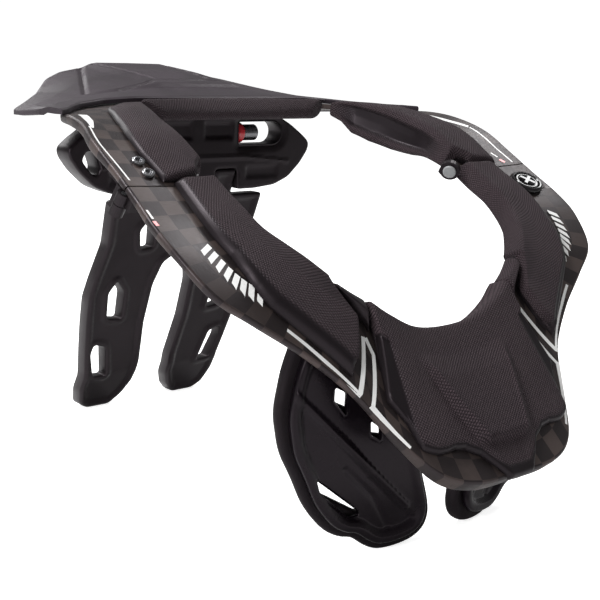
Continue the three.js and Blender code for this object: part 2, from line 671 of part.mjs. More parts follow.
function hingeLeaf(body) {
  const rear = body === 'rear' ? 1 : -1;
  const [low, high] = rear > 0
    ? [knuckleSplit - hingeKnuckleHeight - hingeClearance, knuckleSplit - hingeClearance]
    : [knuckleSplit, knuckleTop];
  const clear = hingeKnuckleRadius + hingeClearance;
  const span = (a, b) => [rear * a, rear * b].sort((p, q) => p - q);
  const leafFloor = knuckleTop - hingeLeafThick;
  const leaf = box([3, hingeLeafWidth], span(clear, hingeLeafLength), [leafFloor, knuckleTop]);
  const web = box([0, 6.5], span(clear, clear + hingeWeb), [low, knuckleTop]);
  const arm = box([0, 6.5], span(0, clear + hingeWeb), [low, high]);
  const body3 = fuse(leaf, web, arm, disc(hingeKnuckleRadius, low, high));
  return cut(body3, disc(hingePinRadius + hingeClearance, low - 1, high + 1)).applyMatrix4(hingeSpot);
}

// Latch at the right seam: a tongue that the rear shell holds under the front
// one, and an eye on an arm in front of the foam's inner wall
function latchTongue() {
  const from = seamRow - tongueReach * rowsPerMm;
  const to = seamRow + tongueTail * rowsPerMm;
  const halfShare = tongueWidth / 2 / collarFrame(seamRow).width;
  const section = (station) => {
    const top = -shellWall - (station < 0.5 ? tongueClearance : seatGap);
    return [
      { share: 0.55 - halfShare, rise: top },
      { share: 0.55 + halfShare, rise: top },
      { share: 0.55 + halfShare, rise: top - tongueThick },
      { share: 0.55 - halfShare, rise: top - tongueThick },
    ];
  };
  return collarLoft({ stations: evenly(6), span: (station) => THREE.MathUtils.lerp(from, to, station), section });
}

const eyeTop = -shellWall - 2 * seatGap;
const faceTheChest = (geometry) =>
  geometry
    .rotateX(Math.PI / 2)
    .rotateZ(-Math.PI / 4)
    .translate(-eyeStand, eyeSetback / 2, eyeTop + eyePinRadius + seatGap);

function latchEye() {
  const arm = box([-eyeStand, eyeArmReach], [eyeSetback, eyeSetback + eyeArmWidth], [eyeTop - eyeThick, eyeTop]);
  return fuse(arm, faceTheChest(disc(eyeRadius, -eyeThick / 2, eyeThick / 2, 24)));
}

const parts = new THREE.Group();

function add(name, material, geometry) {
  const bare = geometry.clone();
  for (const key of Object.keys(bare.attributes)) {
    if (key !== 'position') bare.deleteAttribute(key);
  }
  const mesh = new THREE.Mesh(mergeVertices(bare, 1e-4), new THREE.MeshStandardMaterial(materials[material]));
  mesh.name = name;
  parts.add(mesh);
  return mesh;
}

const sides = [['left', -1], ['right', 1]];
const buttonSpot = collarBasis(buttonPlace, buttonShare);
const boreCutter = disc(buttonRadius + buttonClearance, -boreReach, boreReach).applyMatrix4(buttonSpot);
const bezelCutter = disc(bezelRadius + seatGap, -seatGap, boreReach).applyMatrix4(buttonSpot);

add('front_shell', 'carbon', cut(shell(halfSeam - seamRow, seamRow - halfSeam, 64), boreCutter));
add('rear_shell', 'carbon', shell(seamRow + halfSeam, 2 * rearRow - seamRow - halfSeam, 56));
add('front_pad', 'foam', chestPadOnCollar());
for (const [name, side] of sides) {
  const pad = sidePad(side);
  add(`side_pad_${name}`, 'foam', side > 0 ? cut(pad, bezelCutter) : pad);
  add(`pad_link_${name}`, 'gloss', padLink(side));
  add(`rear_pad_${name}`, 'foam', rearPad(side));
}
add('neck_pad', 'foam', neckPad());
add('tail_plate', 'plastic', tailPlate());
add('carrier', 'plastic', carrier());
add('strut', 'plastic', strut());
const underShell = aboveFrontShell(-seamRow, seamRow, 64);
for (const [name, side] of sides) {
  add(`pin_collar_${name}`, 'red', adjuster(side, seatGap, pinCollarLength, pinCollarRadius));
  add(`adjuster_pin_${name}`, 'steel', adjuster(side, 2 * seatGap + pinCollarLength, pinLength, pinRadius));
  const plate = chestPiece(side, { inset: chestPadMargin, near: 0, thick: chestPlateThick });
  const foam = chestPiece(side, { inset: 0, near: chestPlateThick + seatGap, thick: chestPadThick });
  add(`chest_plate_${name}`, 'gloss', cut(plate, underShell));
  add(`chest_pad_${name}`, 'foam', cut(foam, underShell));
}
add('hinge_leaf_front', 'plastic', hingeLeaf('front'));
add('hinge_leaf_rear', 'plastic', hingeLeaf('rear'));
add('hinge_pin', 'steel', disc(hingePinRadius, knuckleSplit - hingeKnuckleHeight - 1, knuckleTop - 0.1, 16)
  .applyMatrix4(hingeSpot));
for (const [name, place, share] of [['outer', -11.27, 0.67], ['inner', -10.85, 0.66]]) {
  add(`hinge_screw_${name}`, 'steel', disc(screwRadius, seatGap, seatGap + screwHead, 16)
    .applyMatrix4(collarBasis(place, share)));
}
const bezel = cut(disc(bezelRadius, bezelSeat, seatGap + bezelHeight, 24),
  disc(bezelRadius - bezelWall, -5, 10, 24));
add('button_bezel', 'gloss', bezel.applyMatrix4(buttonSpot));
add('release_button', 'plastic', disc(buttonRadius, -buttonStem, buttonStand + seatGap, 24).applyMatrix4(buttonSpot));
const eyeSpot = collarBasis(seamRow, 0);
const pinSeat = eyeThick / 2 + seatGap;
add('latch_tongue', 'plastic', latchTongue());
add('latch_eye', 'plastic', latchEye().applyMatrix4(eyeSpot));
add('latch_pin', 'grey', faceTheChest(disc(eyePinRadius, pinSeat, pinSeat + eyePinHead, 20)).applyMatrix4(eyeSpot));

// The origin lies on the floor, below the middle of the whole brace
const extent = new THREE.Box3().setFromObject(parts);
parts.position.y = -extent.getCenter(new THREE.Vector3()).y;

export default parts;
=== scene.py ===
# %% [markdown]
# # A motocross neck brace, dressed
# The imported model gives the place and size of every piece. This lesson gives each of them
# its moulded edges, its relief and its finish, then lights the brace as in a catalogue shot.
# Everything is in metres, with +Z up, -Y towards the rider's chest and +Y to the tail.

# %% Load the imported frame
import bpy
import math
import numpy as np
from mathutils import Matrix, Vector
from mathutils.geometry import delaunay_2d_cdt


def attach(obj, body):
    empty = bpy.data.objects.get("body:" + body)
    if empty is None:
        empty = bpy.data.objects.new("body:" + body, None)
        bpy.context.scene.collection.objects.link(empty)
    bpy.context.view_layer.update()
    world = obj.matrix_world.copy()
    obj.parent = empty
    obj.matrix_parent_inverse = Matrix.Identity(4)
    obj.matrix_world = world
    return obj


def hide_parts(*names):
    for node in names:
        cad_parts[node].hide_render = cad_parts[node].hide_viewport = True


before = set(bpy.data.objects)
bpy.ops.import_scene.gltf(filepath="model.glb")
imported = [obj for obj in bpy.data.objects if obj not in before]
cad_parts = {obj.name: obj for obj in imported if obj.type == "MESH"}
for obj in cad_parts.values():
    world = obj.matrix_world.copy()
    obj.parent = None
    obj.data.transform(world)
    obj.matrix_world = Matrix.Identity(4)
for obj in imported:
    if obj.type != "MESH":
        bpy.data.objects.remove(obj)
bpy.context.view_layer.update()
MM = 0.001

# %% [markdown]
# ## The collar as a surface
# The real collar is one wide band that starts low at the throat, climbs over both shoulders
# and closes behind the neck. Modelling it point by point would never give one flowing
# surface, so a short table of rows holds its inner and outer edge, and a smooth spline runs
# through them. A place counts the rows from the front, a share runs from the inner edge
# to the outer one, and every stripe, pad and screw can then be put down by those two numbers.

# %% The rows of the collar, as shares of its half width, length and height
HALF_WIDTH, LENGTH, HEIGHT = 138.5 * MM, 205 * MM, 203 * MM
PAD_SEAT, RIM_DEPTH, SHELL_WALL, SHELL_INSET = 7 * MM, 8.5 * MM, 3 * MM, 5 * MM
CENTRING = -108.833 * MM
SEAM = 10.45
ROWS = np.array([
    (0, -.302, .2315, 0, -.049, .527, 1, 1), (.188, -.302, .2365, .144, -.048, .537, 1, 1),
    (.325, -.271, .2635, .267, -.044, .576, 1, .9), (.426, -.2, .335, .347, -.034, .611, 1, .6),
    (.52, -.122, .431, .415, -.023, .638, 1, .45), (.657, -.069, .517, .48, .002, .672, 1, .4),
    (.809, -.029, .591, .534, .039, .709, 1, .4), (.931, .01, .653, .574, .076, .736, 1, .4),
    (.986, .088, .727, .61, .127, .766, 1, .4), (1, .161, .776, .627, .185, .805, 1, .45),
    (.991, .244, .825, .628, .254, .841, 1, .4), (.986, .332, .877, .628, .341, .894, 1, .4),
    (.982, .429, .931, .628, .429, .943, 1, .6), (.946, .517, .963, .614, .517, .97, 1, .6),
    (.917, .605, .975, .585, .605, .993, .9, .6), (.874, .707, .973, .534, .698, 1, .5, .45),
    (.758, .82, .973, .455, .766, .995, .1, .4), (.578, .917, .981, .318, .79, .995, .1, .4),
    (.303, .971, .99, .159, .8, .995, .1, .4), (0, .985, .99, 0, .805, .995, .1, .4),
])
LAST = len(ROWS) - 1
SIZES = np.array([HALF_WIDTH, LENGTH, HEIGHT, HALF_WIDTH, LENGTH, HEIGHT, PAD_SEAT, RIM_DEPTH])


def ring_row(index):
    """One row, mirrored before the front centre and again past the rear centre."""
    folded = np.abs(index)
    beyond = folded > LAST
    row = ROWS[np.where(beyond, 2 * LAST - folded, folded)] * SIZES
    side = np.where(index < 0, -1, 1) * np.where(beyond, -1, 1)
    row[..., 0] *= side
    row[..., 3] *= side
    return row


def rail(place):
    place = np.asarray(place, float)
    start = np.floor(place).astype(int)
    f = (place - start)[..., None]
    a, b, c, d = (ring_row(start + step) for step in (-1, 0, 1, 2))
    return b + 0.5 * f * (c - a + f * (2 * a - 5 * b + 4 * c - d + f * (3 * (b - c) + d - a)))


def unit(v):
    return v / np.maximum(np.linalg.norm(v, axis=-1, keepdims=True), 1e-12)


def collar_frame(place):
    row = rail(place)
    across = row[..., 0:3] - row[..., 3:6]
    width = np.linalg.norm(across, axis=-1)
    ahead, behind = rail(place + 0.01), rail(place - 0.01)
    along = unit(ahead[..., 0:3] + ahead[..., 3:6] - behind[..., 0:3] - behind[..., 3:6])
    normal = unit(np.cross(unit(across), along))
    normal = np.where(normal[..., 2:3] < 0, -normal, normal)
    return row[..., 3:6], unit(across), along, normal, width, row[..., 6], row[..., 7]


def collar(place, share, out=0.0, rise=0.0):
    """Points of the collar: share of its width plus metres outwards and upwards."""
    place, share, out, rise = np.broadcast_arrays(*(np.asarray(v, float) for v in (place, share, out, rise)))
    inner, across, _, normal, width, seat, _ = collar_frame(place)
    point = inner + across * (width * share + out)[..., None] + normal * (rise - seat * (1 - share))[..., None]
    return point + np.array([0, CENTRING, 0])


def seat_matrix(place, share):
    """Axes for a small piece that sits on the collar: x outwards, y rearwards, z up."""
    inner, outer = collar(place, 0.5), collar(place, 1.0)
    right = unit((outer - inner) * (1 if place > 0 else -1))
    rear = unit(np.cross(collar_frame(np.float64(place))[3], right))
    normal = np.cross(right, rear)
    matrix = Matrix(np.column_stack([right, rear, normal]).tolist()).to_4x4()
    matrix.translation = Vector(collar(place, share).tolist())
    return matrix


def table(pairs, at):
    places, values = zip(*pairs)
    return np.interp(at, places, values)


print("throat", collar(0.0, 1.0).round(4), "seam", collar(SEAM, 1.0).round(4))

# %% [markdown]
# ## From sections to a solid
# A moulded band is the same closed section carried along a path. A loft writes that out:
# one ring of points for each station, quads between the rings and a cap at each end. It also
# lays a UV map in metres, so that a weave or knurl keeps its real size all the way round.

# %% Helpers that turn points into meshes


def finish_mesh(name, points, faces, uvs=None, marks=None, sharp=40):
    mesh = bpy.data.meshes.new(name)
    mesh.from_pydata(np.asarray(points).tolist(), [], faces)
    if uvs is not None:
        layer = mesh.uv_layers.new(name="UVMap")
        layer.data.foreach_set("uv", np.asarray(uvs, np.float32).ravel())
    for key, values in (marks or {}).items():
        attribute = mesh.attributes.new(key, "FLOAT", "POINT")
        attribute.data.foreach_set("value", np.asarray(values, np.float32).ravel())
    mesh.validate()
    mesh.shade_smooth()
    mesh.set_sharp_from_angle(angle=math.radians(sharp))
    piece = bpy.data.objects.new(name, mesh)
    bpy.context.scene.collection.objects.link(piece)
    return piece


def turned_out(points, faces):
    """Whether the faces of a closed solid all point outwards."""
    p = np.asarray(points)
    volume = 0.0
    for face in faces:
        for i in range(1, len(face) - 1):
            volume += np.dot(p[face[0]], np.cross(p[face[i]], p[face[i + 1]]))
    return volume > 0


def loft(name, rings, marks=None, sharp=40, guide=None):
    """Quads between rings; guide is the column whose length sets the UV along the piece."""
    stations, count = rings.shape[:2]
    points = rings.reshape(-1, 3)
    i, k = np.meshgrid(np.arange(stations - 1), np.arange(count), indexing="ij")
    nxt = (k + 1) % count
    quads = np.stack([i * count + k, i * count + nxt, (i + 1) * count + nxt, (i + 1) * count + k], -1)
    steps = np.linalg.norm(np.diff(rings, axis=0), axis=-1)
    steps = steps.mean(axis=1) if guide is None else steps[:, guide]
    u = np.concatenate([[0], np.cumsum(steps)])
    girth = np.linalg.norm(np.roll(rings, -1, axis=1) - rings, axis=-1)
    v = np.concatenate([np.zeros((stations, 1)), np.cumsum(girth, axis=1)], axis=1)
    v -= v[:, [0 if guide is None else guide]]
    uv = np.stack([np.stack([u[i], v[i, k]], -1), np.stack([u[i], v[i, k + 1]], -1),
                   np.stack([u[i + 1], v[i + 1, k + 1]], -1), np.stack([u[i + 1], v[i + 1, k]], -1)], -2)
    quads, uv = quads.reshape(-1, 4), uv.reshape(-1, 4, 2)
    centre = points.mean(axis=0)
    a, b, c, d = (points[quads[:, j]] - centre for j in range(4))
    volume = (np.einsum("ij,ij->i", a, np.cross(b, c)) + np.einsum("ij,ij->i", a, np.cross(c, d))).sum()
    caps = [list(range(count))[::-1], list(range((stations - 1) * count, stations * count))]
    cap_uv = [[(0, v[0, j]) for j in caps[0]], [(u[-1], v[-1, j - (stations - 1) * count]) for j in caps[1]]]
    if volume < 0:
        quads, uv = quads[:, ::-1], uv[:, ::-1]
        caps, cap_uv = [cap[::-1] for cap in caps], [c_uv[::-1] for c_uv in cap_uv]
    faces = quads.tolist() + caps
    uvs = np.concatenate([uv.reshape(-1, 2)] + [np.asarray(c_uv, float) for c_uv in cap_uv])
    return finish_mesh(name, points, faces, uvs, marks, sharp)


def soften(rings, radius, steps=4):
    """Round each corner of closed sections by about the radius."""
    t = np.linspace(0, 1, steps)[:, None]

    def towards(other):
        way = other - rings
        length = np.linalg.norm(way, axis=-1, keepdims=True)
        return rings + way * np.minimum(radius, 0.45 * length) / np.maximum(length, 1e-9)

    a, b = towards(np.roll(rings, 1, axis=1)), towards(np.roll(rings, -1, axis=1))
    curve = (1 - t) ** 2 * a[:, :, None] + 2 * t * (1 - t) * rings[:, :, None] + t ** 2 * b[:, :, None]
    return curve.reshape(len(rings), -1, 3)


def even(rings, marks, count, passes=1):
    """Space the points of each closed section evenly, then ease its corners."""
    fresh, kept = np.empty((len(rings), count, 3)), np.empty((len(rings), count))
    at = np.linspace(0, 1, count, endpoint=False)
    for s, ring in enumerate(rings):
        closed = np.vstack([ring, ring[:1]])
        run = np.concatenate([[0], np.cumsum(np.linalg.norm(np.diff(closed, axis=0), axis=1))])
        for axis in range(3):
            fresh[s, :, axis] = np.interp(at, run / run[-1], closed[:, axis])
        kept[s] = np.interp(at, run / run[-1], np.append(marks[s], marks[s, 0]))
    for _ in range(passes):
        fresh = 0.5 * fresh + 0.25 * (np.roll(fresh, 1, axis=1) + np.roll(fresh, -1, axis=1))
    return fresh, kept


def plain(piece):
    """The piece with its modifiers worked out, as a plain mesh."""
    evaluated = piece.evaluated_get(bpy.context.evaluated_depsgraph_get())
    mesh = bpy.data.meshes.new_from_object(evaluated)
    piece.modifiers.clear()
    piece.data = mesh
    return piece


def carve(piece, cutter):
    boolean = piece.modifiers.new("carve", "BOOLEAN")
    boolean.object = cutter
    boolean.solver = "EXACT"
    plain(piece)
    bpy.data.objects.remove(cutter)
    return piece


def lathe(name, profile, matrix=None, sides=48, sharp=35, ring=False):
    """A turned piece: profile of (radius, height) from the bottom centre to the top centre, or round a ring."""
    profile = np.array(profile, float)
    angle = np.linspace(0, 2 * np.pi, sides, endpoint=False)
    points, faces, row = [], [], []
    for r, z in profile:
        if r < 1e-7:
            row.append([len(points)])
            points.append((0, 0, z))
        else:
            row.append(list(range(len(points), len(points) + sides)))
            points += [(r * math.cos(a), r * math.sin(a), z) for a in angle]
    row += row[:1] if ring else []
    for low, high in zip(row, row[1:]):
        for k in range(sides):
            m = (k + 1) % sides
            if len(low) == 1:
                faces.append([low[0], high[m], high[k]])
            elif len(high) == 1:
                faces.append([low[k], low[m], high[0]])
            else:
                faces.append([low[k], low[m], high[m], high[k]])
    piece = finish_mesh(name, points, faces, sharp=sharp)
    if not turned_out(points, faces):
        piece.data.flip_normals()
    if matrix is not None:
        piece.data.transform(matrix)
    return piece


def dress(piece, material, body, slot, *nodes):
    piece.data.materials.clear()
    piece.data.materials.append(material)
    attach(piece, body)
    if nodes:
        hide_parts(*nodes)
    print(piece.name, len(piece.data.polygons), "faces on", body)
    return piece


# %% [markdown]
# ## Finishes shared by several pieces
# Moulded plastic and painted parts all pick up the same two things: a fine grain from the
# mould, and patches where hands have polished or dulled them; the foam takes the patches only.
# Both are built once as shader groups, and each material below sets their size and strength for itself.

# %% Small helpers for node trees


def node(tree, kind, sockets=None, **properties):
    made = tree.nodes.new(kind)
    for key, value in properties.items():
        setattr(made, key, value)
    for key, value in (sockets or {}).items():
        if isinstance(value, bpy.types.NodeSocket):
            tree.links.new(value, made.inputs[key])
        else:
            made.inputs[key].default_value = value
    return made


def shader_group(name, inputs, outputs):
    tree = bpy.data.node_groups.new(name, "ShaderNodeTree")
    for label, kind, value in inputs:
        socket = tree.interface.new_socket(label, in_out="INPUT", socket_type=kind)
        if value is not None:
            socket.default_value = value
    for label in outputs:
        tree.interface.new_socket(label, in_out="OUTPUT", socket_type="NodeSocketFloat")
    return tree, tree.nodes.new("NodeGroupInput"), tree.nodes.new("NodeGroupOutput")


def use(tree, shared, **sockets):
    return node(tree, "ShaderNodeGroup", sockets, node_tree=shared)


def maths(tree, operation, a, b=0.0):
    return node(tree, "ShaderNodeMath", {0: a, 1: b}, operation=operation).outputs[0]


def mix(tree, mask, a, b):
    return node(tree, "ShaderNodeMix", {0: mask, 6: a, 7: b}, data_type="RGBA").outputs[2]


def ramp(tree, value, low, high, to_low=0.0, to_high=1.0):
    sockets = {"Value": value, "From Min": low, "From Max": high, "To Min": to_low, "To Max": to_high}
    return node(tree, "ShaderNodeMapRange", sockets, interpolation_type="SMOOTHSTEP").outputs["Result"]


# %% Grain, handling patches and knurl
VECTOR, FLOAT = "NodeSocketVector", "NodeSocketFloat"
grain_group, start, end = shader_group("Mould grain", [("Place", VECTOR, None), ("Size", FLOAT, 0.0006)], ["Height"])
noise = node(grain_group, "ShaderNodeTexNoise", {"Vector": start.outputs["Place"],
             "Scale": maths(grain_group, "DIVIDE", 1.0, start.outputs["Size"]), "Detail": 3.0, "Roughness": 0.6})
grain_group.links.new(noise.outputs[0], end.inputs["Height"])

patch_group, start, end = shader_group("Handling patches", [("Place", VECTOR, None), ("Size", FLOAT, 0.03)], ["Mask"])
broad = node(patch_group, "ShaderNodeTexNoise", {"Vector": start.outputs["Place"],
             "Scale": maths(patch_group, "DIVIDE", 1.0, start.outputs["Size"]), "Detail": 5.0, "Roughness": 0.55})
patch_group.links.new(ramp(patch_group, broad.outputs[0], 0.38, 0.66), end.inputs["Mask"])

knurl_group, start, end = shader_group("Knurl", [("Place", VECTOR, None), ("Pitch", FLOAT, 0.0016)], ["Height"])
axes = node(knurl_group, "ShaderNodeSeparateXYZ", {0: start.outputs["Place"]})
turn = maths(knurl_group, "DIVIDE", math.pi, start.outputs["Pitch"])
waves = []
for operation in ("ADD", "SUBTRACT"):
    lean = maths(knurl_group, operation, axes.outputs[0], maths(knurl_group, "MULTIPLY", axes.outputs[1], 1.25))
    wave = maths(knurl_group, "SINE", maths(knurl_group, "MULTIPLY", lean, turn))
    waves.append(maths(knurl_group, "ABSOLUTE", wave))
knurl_group.links.new(maths(knurl_group, "MULTIPLY", waves[0], waves[1]), end.inputs["Height"])


def new_material(name, **values):
    material = bpy.data.materials.new(name)
    material.use_nodes = True
    shader = material.node_tree.nodes["Principled BSDF"]
    for key, value in values.items():
        shader.inputs[key.replace("_", " ")].default_value = value
    coordinates = material.node_tree.nodes.new("ShaderNodeTexCoord")
    return material, material.node_tree, shader, coordinates


def bump(tree, shader, height, distance, strength=1.0):
    made = node(tree, "ShaderNodeBump", {"Height": height, "Distance": distance, "Strength": strength})
    tree.links.new(made.outputs["Normal"], shader.inputs["Normal"])


def moulded(name, dark, light, rough=(0.4, 0.55), grain=0.0007, depth=0.00004, **values):
    """A moulded finish: two near colours in patches, fine grain, uneven sheen."""
    material, tree, shader, where = new_material(name, **values)
    place = where.outputs["Object"]
    patches = use(tree, patch_group, Place=place, Size=0.035).outputs["Mask"]
    fine = use(tree, grain_group, Place=place, Size=grain).outputs["Height"]
    tree.links.new(mix(tree, patches, (*dark, 1), (*light, 1)), shader.inputs["Base Color"])
    tree.links.new(ramp(tree, patches, 0.0, 1.0, *rough), shader.inputs["Roughness"])
    bump(tree, shader, fine, depth)
    return material


# %% [markdown]
# ## Carbon, foam and plastics
# The shell is a carbon laminate under clear lacquer: squares of cloth about 10 mm wide catch
# the light in turn, because their fibres run along the arm in one and across it in the next.
# A checker on the UV map picks the fibre direction of each square and paints every other square
# lighter, as a painted sheen, and a broad noise makes that painted sheen stronger or weaker in
# patches. The foam is one material whose knurl is switched off by a vertex mask on the smooth,
# moulded borders. Its knurl tips are painted lighter, as a painted highlight, and its smooth
# borders are painted darker, partly for their plain skin and partly as painted shade.

# %% Carbon laminate
PLUM = (1.0, 0.86, 0.95, 1.0)
CLOTH_SQUARE = 10.5 * MM
carbon, tree, shader, where = new_material("carbon", Roughness=0.34, Coat_Weight=0.06, Coat_Roughness=0.18,
                                           Coat_IOR=1.5, Specular_Tint=PLUM)
flat = where.outputs["UV"]
checker = node(tree, "ShaderNodeTexChecker", {"Vector": flat, "Scale": 1 / CLOTH_SQUARE,
               "Color1": (1, 1, 1, 1), "Color2": (0, 0, 0, 1)}).outputs["Fac"]
along = node(tree, "ShaderNodeMapping", {"Vector": flat, "Scale": (260, 3200, 1)}, vector_type="POINT")
athwart = node(tree, "ShaderNodeMapping", {"Vector": flat, "Scale": (3200, 260, 1)}, vector_type="POINT")
fibres = [node(tree, "ShaderNodeTexNoise", {"Vector": m.outputs[0], "Scale": 1.0, "Detail": 2.0}).outputs[0]
          for m in (along, athwart)]
fibre = mix(tree, checker, fibres[0], fibres[1])
# the broad noise only varies how strongly the squares' painted sheen shows
fade = use(tree, patch_group, Place=where.outputs["Object"], Size=0.06).outputs["Mask"]
visible = ramp(tree, fade, 0.0, 1.0, 0.35, 0.95)
square = maths(tree, "MULTIPLY", checker, visible)
# painted sheen: every other square of the weave is painted lighter, in place of the light its fibres catch
painted_square_sheen = mix(tree, square, (0.007, 0.0052, 0.006, 1), (0.056, 0.042, 0.038, 1))
strand = mix(tree, maths(tree, "MULTIPLY", fibre, 0.2), painted_square_sheen, (0.085, 0.07, 0.062, 1))
tree.links.new(strand, shader.inputs["Base Color"])
tree.links.new(ramp(tree, fibre, 0.3, 0.7, 0.38, 0.55), shader.inputs["Roughness"])
shader.inputs["Specular IOR Level"].default_value = 0.25
bump(tree, shader, fibre, 0.00003, 0.5)

# %% Foam, with its knurl masked off on smooth borders


def foam_material(name, dark, light, pitch=0.0019, depth=0.0005, smooth_rough=0.4):
    material, tree, shader, where = new_material(name, Specular_IOR_Level=0.22, Specular_Tint=PLUM)
    raised = use(tree, knurl_group, Place=where.outputs["UV"], Pitch=pitch).outputs["Height"]
    bare = node(tree, "ShaderNodeAttribute", attribute_name="smooth").outputs["Fac"]
    rough_part = maths(tree, "SUBTRACT", 1.0, bare)
    height = maths(tree, "MULTIPLY", raised, rough_part)
    patches = use(tree, patch_group, Place=where.outputs["Object"], Size=0.03).outputs["Mask"]
    base = mix(tree, patches, (*dark, 1), (*light, 1))
    # painted highlight: the knurl's raised tips are painted lighter, as where they catch the light
    knurl_tip_highlight = mix(tree, maths(tree, "MULTIPLY", height, 0.9), base, tuple(3.4 * c for c in light) + (1,))
    # the smooth borders are painted darker: partly their plain moulded skin, partly painted shade on the bevels and
    # the scooped walls
    tree.links.new(mix(tree, bare, knurl_tip_highlight, (0.007, 0.0054, 0.0062, 1)), shader.inputs["Base Color"])
    tree.links.new(ramp(tree, bare, 0.0, 1.0, 0.72, smooth_rough), shader.inputs["Roughness"])
    bump(tree, shader, height, depth)
    return material


foam = foam_material("foam", (0.0105, 0.0075, 0.0088), (0.0175, 0.0126, 0.0142))
trim = moulded("trim", (0.0075, 0.0058, 0.0066), (0.012, 0.0094, 0.0104), rough=(0.36, 0.48),
               Specular_IOR_Level=0.3, Specular_Tint=PLUM)
plastic = moulded("plastic", (0.0062, 0.0047, 0.0054), (0.011, 0.0086, 0.0096), rough=(0.34, 0.48),
                  Specular_IOR_Level=0.26, Specular_Tint=PLUM)
# painted light: the tail plate's plastic is painted lighter than the other black plastics, partly its own colour and
# partly painted light on its top, which faces up towards the lamps
tail_painted_light = moulded("tail_plastic_painted_light", (0.0175, 0.0135, 0.017), (0.028, 0.022, 0.0275), rough=(0.48, 0.6),
                      grain=0.0009, Specular_IOR_Level=0.3, Specular_Tint=PLUM)
gloss = moulded("gloss", (0.0026, 0.0016, 0.0026), (0.0046, 0.0032, 0.0046), rough=(0.2, 0.3), depth=0.00001,
                Specular_IOR_Level=0.2, Specular_Tint=PLUM)
polished = moulded("polished", (0.004, 0.0032, 0.0038), (0.007, 0.0056, 0.0066), rough=(0.14, 0.22), depth=0.00001,
                   Coat_Weight=0.1, Coat_Roughness=0.08, Specular_IOR_Level=0.3)
chest_foam = moulded("chest_foam", (0.004, 0.003, 0.0036), (0.0065, 0.005, 0.006), rough=(0.6, 0.75), depth=0.0001,
                     Specular_IOR_Level=0.2, Specular_Tint=PLUM)
steel = moulded("steel", (0.2, 0.2, 0.21), (0.31, 0.31, 0.32), rough=(0.26, 0.4), Metallic=0.9)
red = moulded("red", (0.55, 0.025, 0.035), (0.66, 0.04, 0.05), rough=(0.28, 0.4), Coat_Weight=0.4)
grey = moulded("grey", (0.2, 0.205, 0.21), (0.28, 0.285, 0.29), rough=(0.3, 0.42))
white = moulded("white_print", (0.84, 0.84, 0.83), (0.9, 0.9, 0.89), rough=(0.3, 0.42))
print("materials", [m.name for m in bpy.data.materials])

# %% [markdown]
# ## The two carbon shells
# The shell is a wall 3 mm thick whose outer edge turns down like the rim of a lid. Its section
# has few corners, so each is rounded by a small curve before it is lofted. The front shell
# ends at both seams on top of the shoulders, and the rear one runs on behind the neck.

# %% Shell sections and lofts


def shell_rings(first, last, stations):
    place = np.linspace(first, last, stations)[:, None]
    rim = np.maximum(collar_frame(place)[6], SHELL_WALL + 0.2 * MM)
    zero = np.zeros_like(place)
    corners = [
        (0, SHELL_INSET, zero), (0.25, 0, zero), (0.5, 0, zero), (0.75, 0, zero),
        (1, -1.0 * MM, zero), (1, 0, zero - 1.0 * MM), (1, 0, -rim), (1, -SHELL_WALL, -rim),
        (1, -SHELL_WALL, zero - SHELL_WALL), (0.5, 0, zero - SHELL_WALL), (0, SHELL_INSET, zero - SHELL_WALL),
    ]
    points = [collar(place, share, out, rise)[:, 0] for share, out, rise in corners]
    return soften(np.stack(points, axis=1), 0.7 * MM)


HALF_SEAM = 0.4 * MM / np.linalg.norm(collar(SEAM + 0.5, 1.0) - collar(SEAM - 0.5, 1.0))
front_shell = loft("front_shell_skin", shell_rings(HALF_SEAM - SEAM, SEAM - HALF_SEAM, 300), guide=16)
rear_shell = loft("rear_shell_skin", shell_rings(SEAM + HALF_SEAM, 2 * LAST - SEAM - HALF_SEAM, 260), guide=16)
BUTTON_PLACE, BUTTON_SHARE = 9.55, 0.68
button_seat = seat_matrix(BUTTON_PLACE, BUTTON_SHARE)
bore = lathe("bore", [(0, -9 * MM), (7.2 * MM, -9 * MM), (7.2 * MM, 9 * MM), (0, 9 * MM)], button_seat)
carve(front_shell, bore)
dress(front_shell, carbon, "front", "carbon", "front_shell")
dress(rear_shell, carbon, "rear", "carbon", "rear_shell")

# %% [markdown]
# ## Foam pads on the collar
# The pads are moulded foam, not sewn cushions: their borders are crisp, with a rounded bead
# and a groove beside it, so they are drawn as sections rather than blown up as cloth. Each
# section lies on the shell, hangs over its inner edge towards the neck and runs out to a
# bevel. A mask marks the bead and bevels as smooth, and the rest gets the fine knurl.

# %% Pad sections
SEAT_GAP, PAD_LIP, PAD_BEVEL = 0.4 * MM, 1.8 * MM, 4.5 * MM
SCOOP_DEPTH, LIP_FULL, LIP_OVER = 3 * MM, 3 * MM, 2.4 * MM
HANG = SHELL_INSET - SEAT_GAP


def pad_end(distance, reach=3.2 * MM):
    t = np.clip(distance / reach, 0, 1)
    return 0.35 + 0.65 * np.sqrt(1 - (1 - t) ** 2)


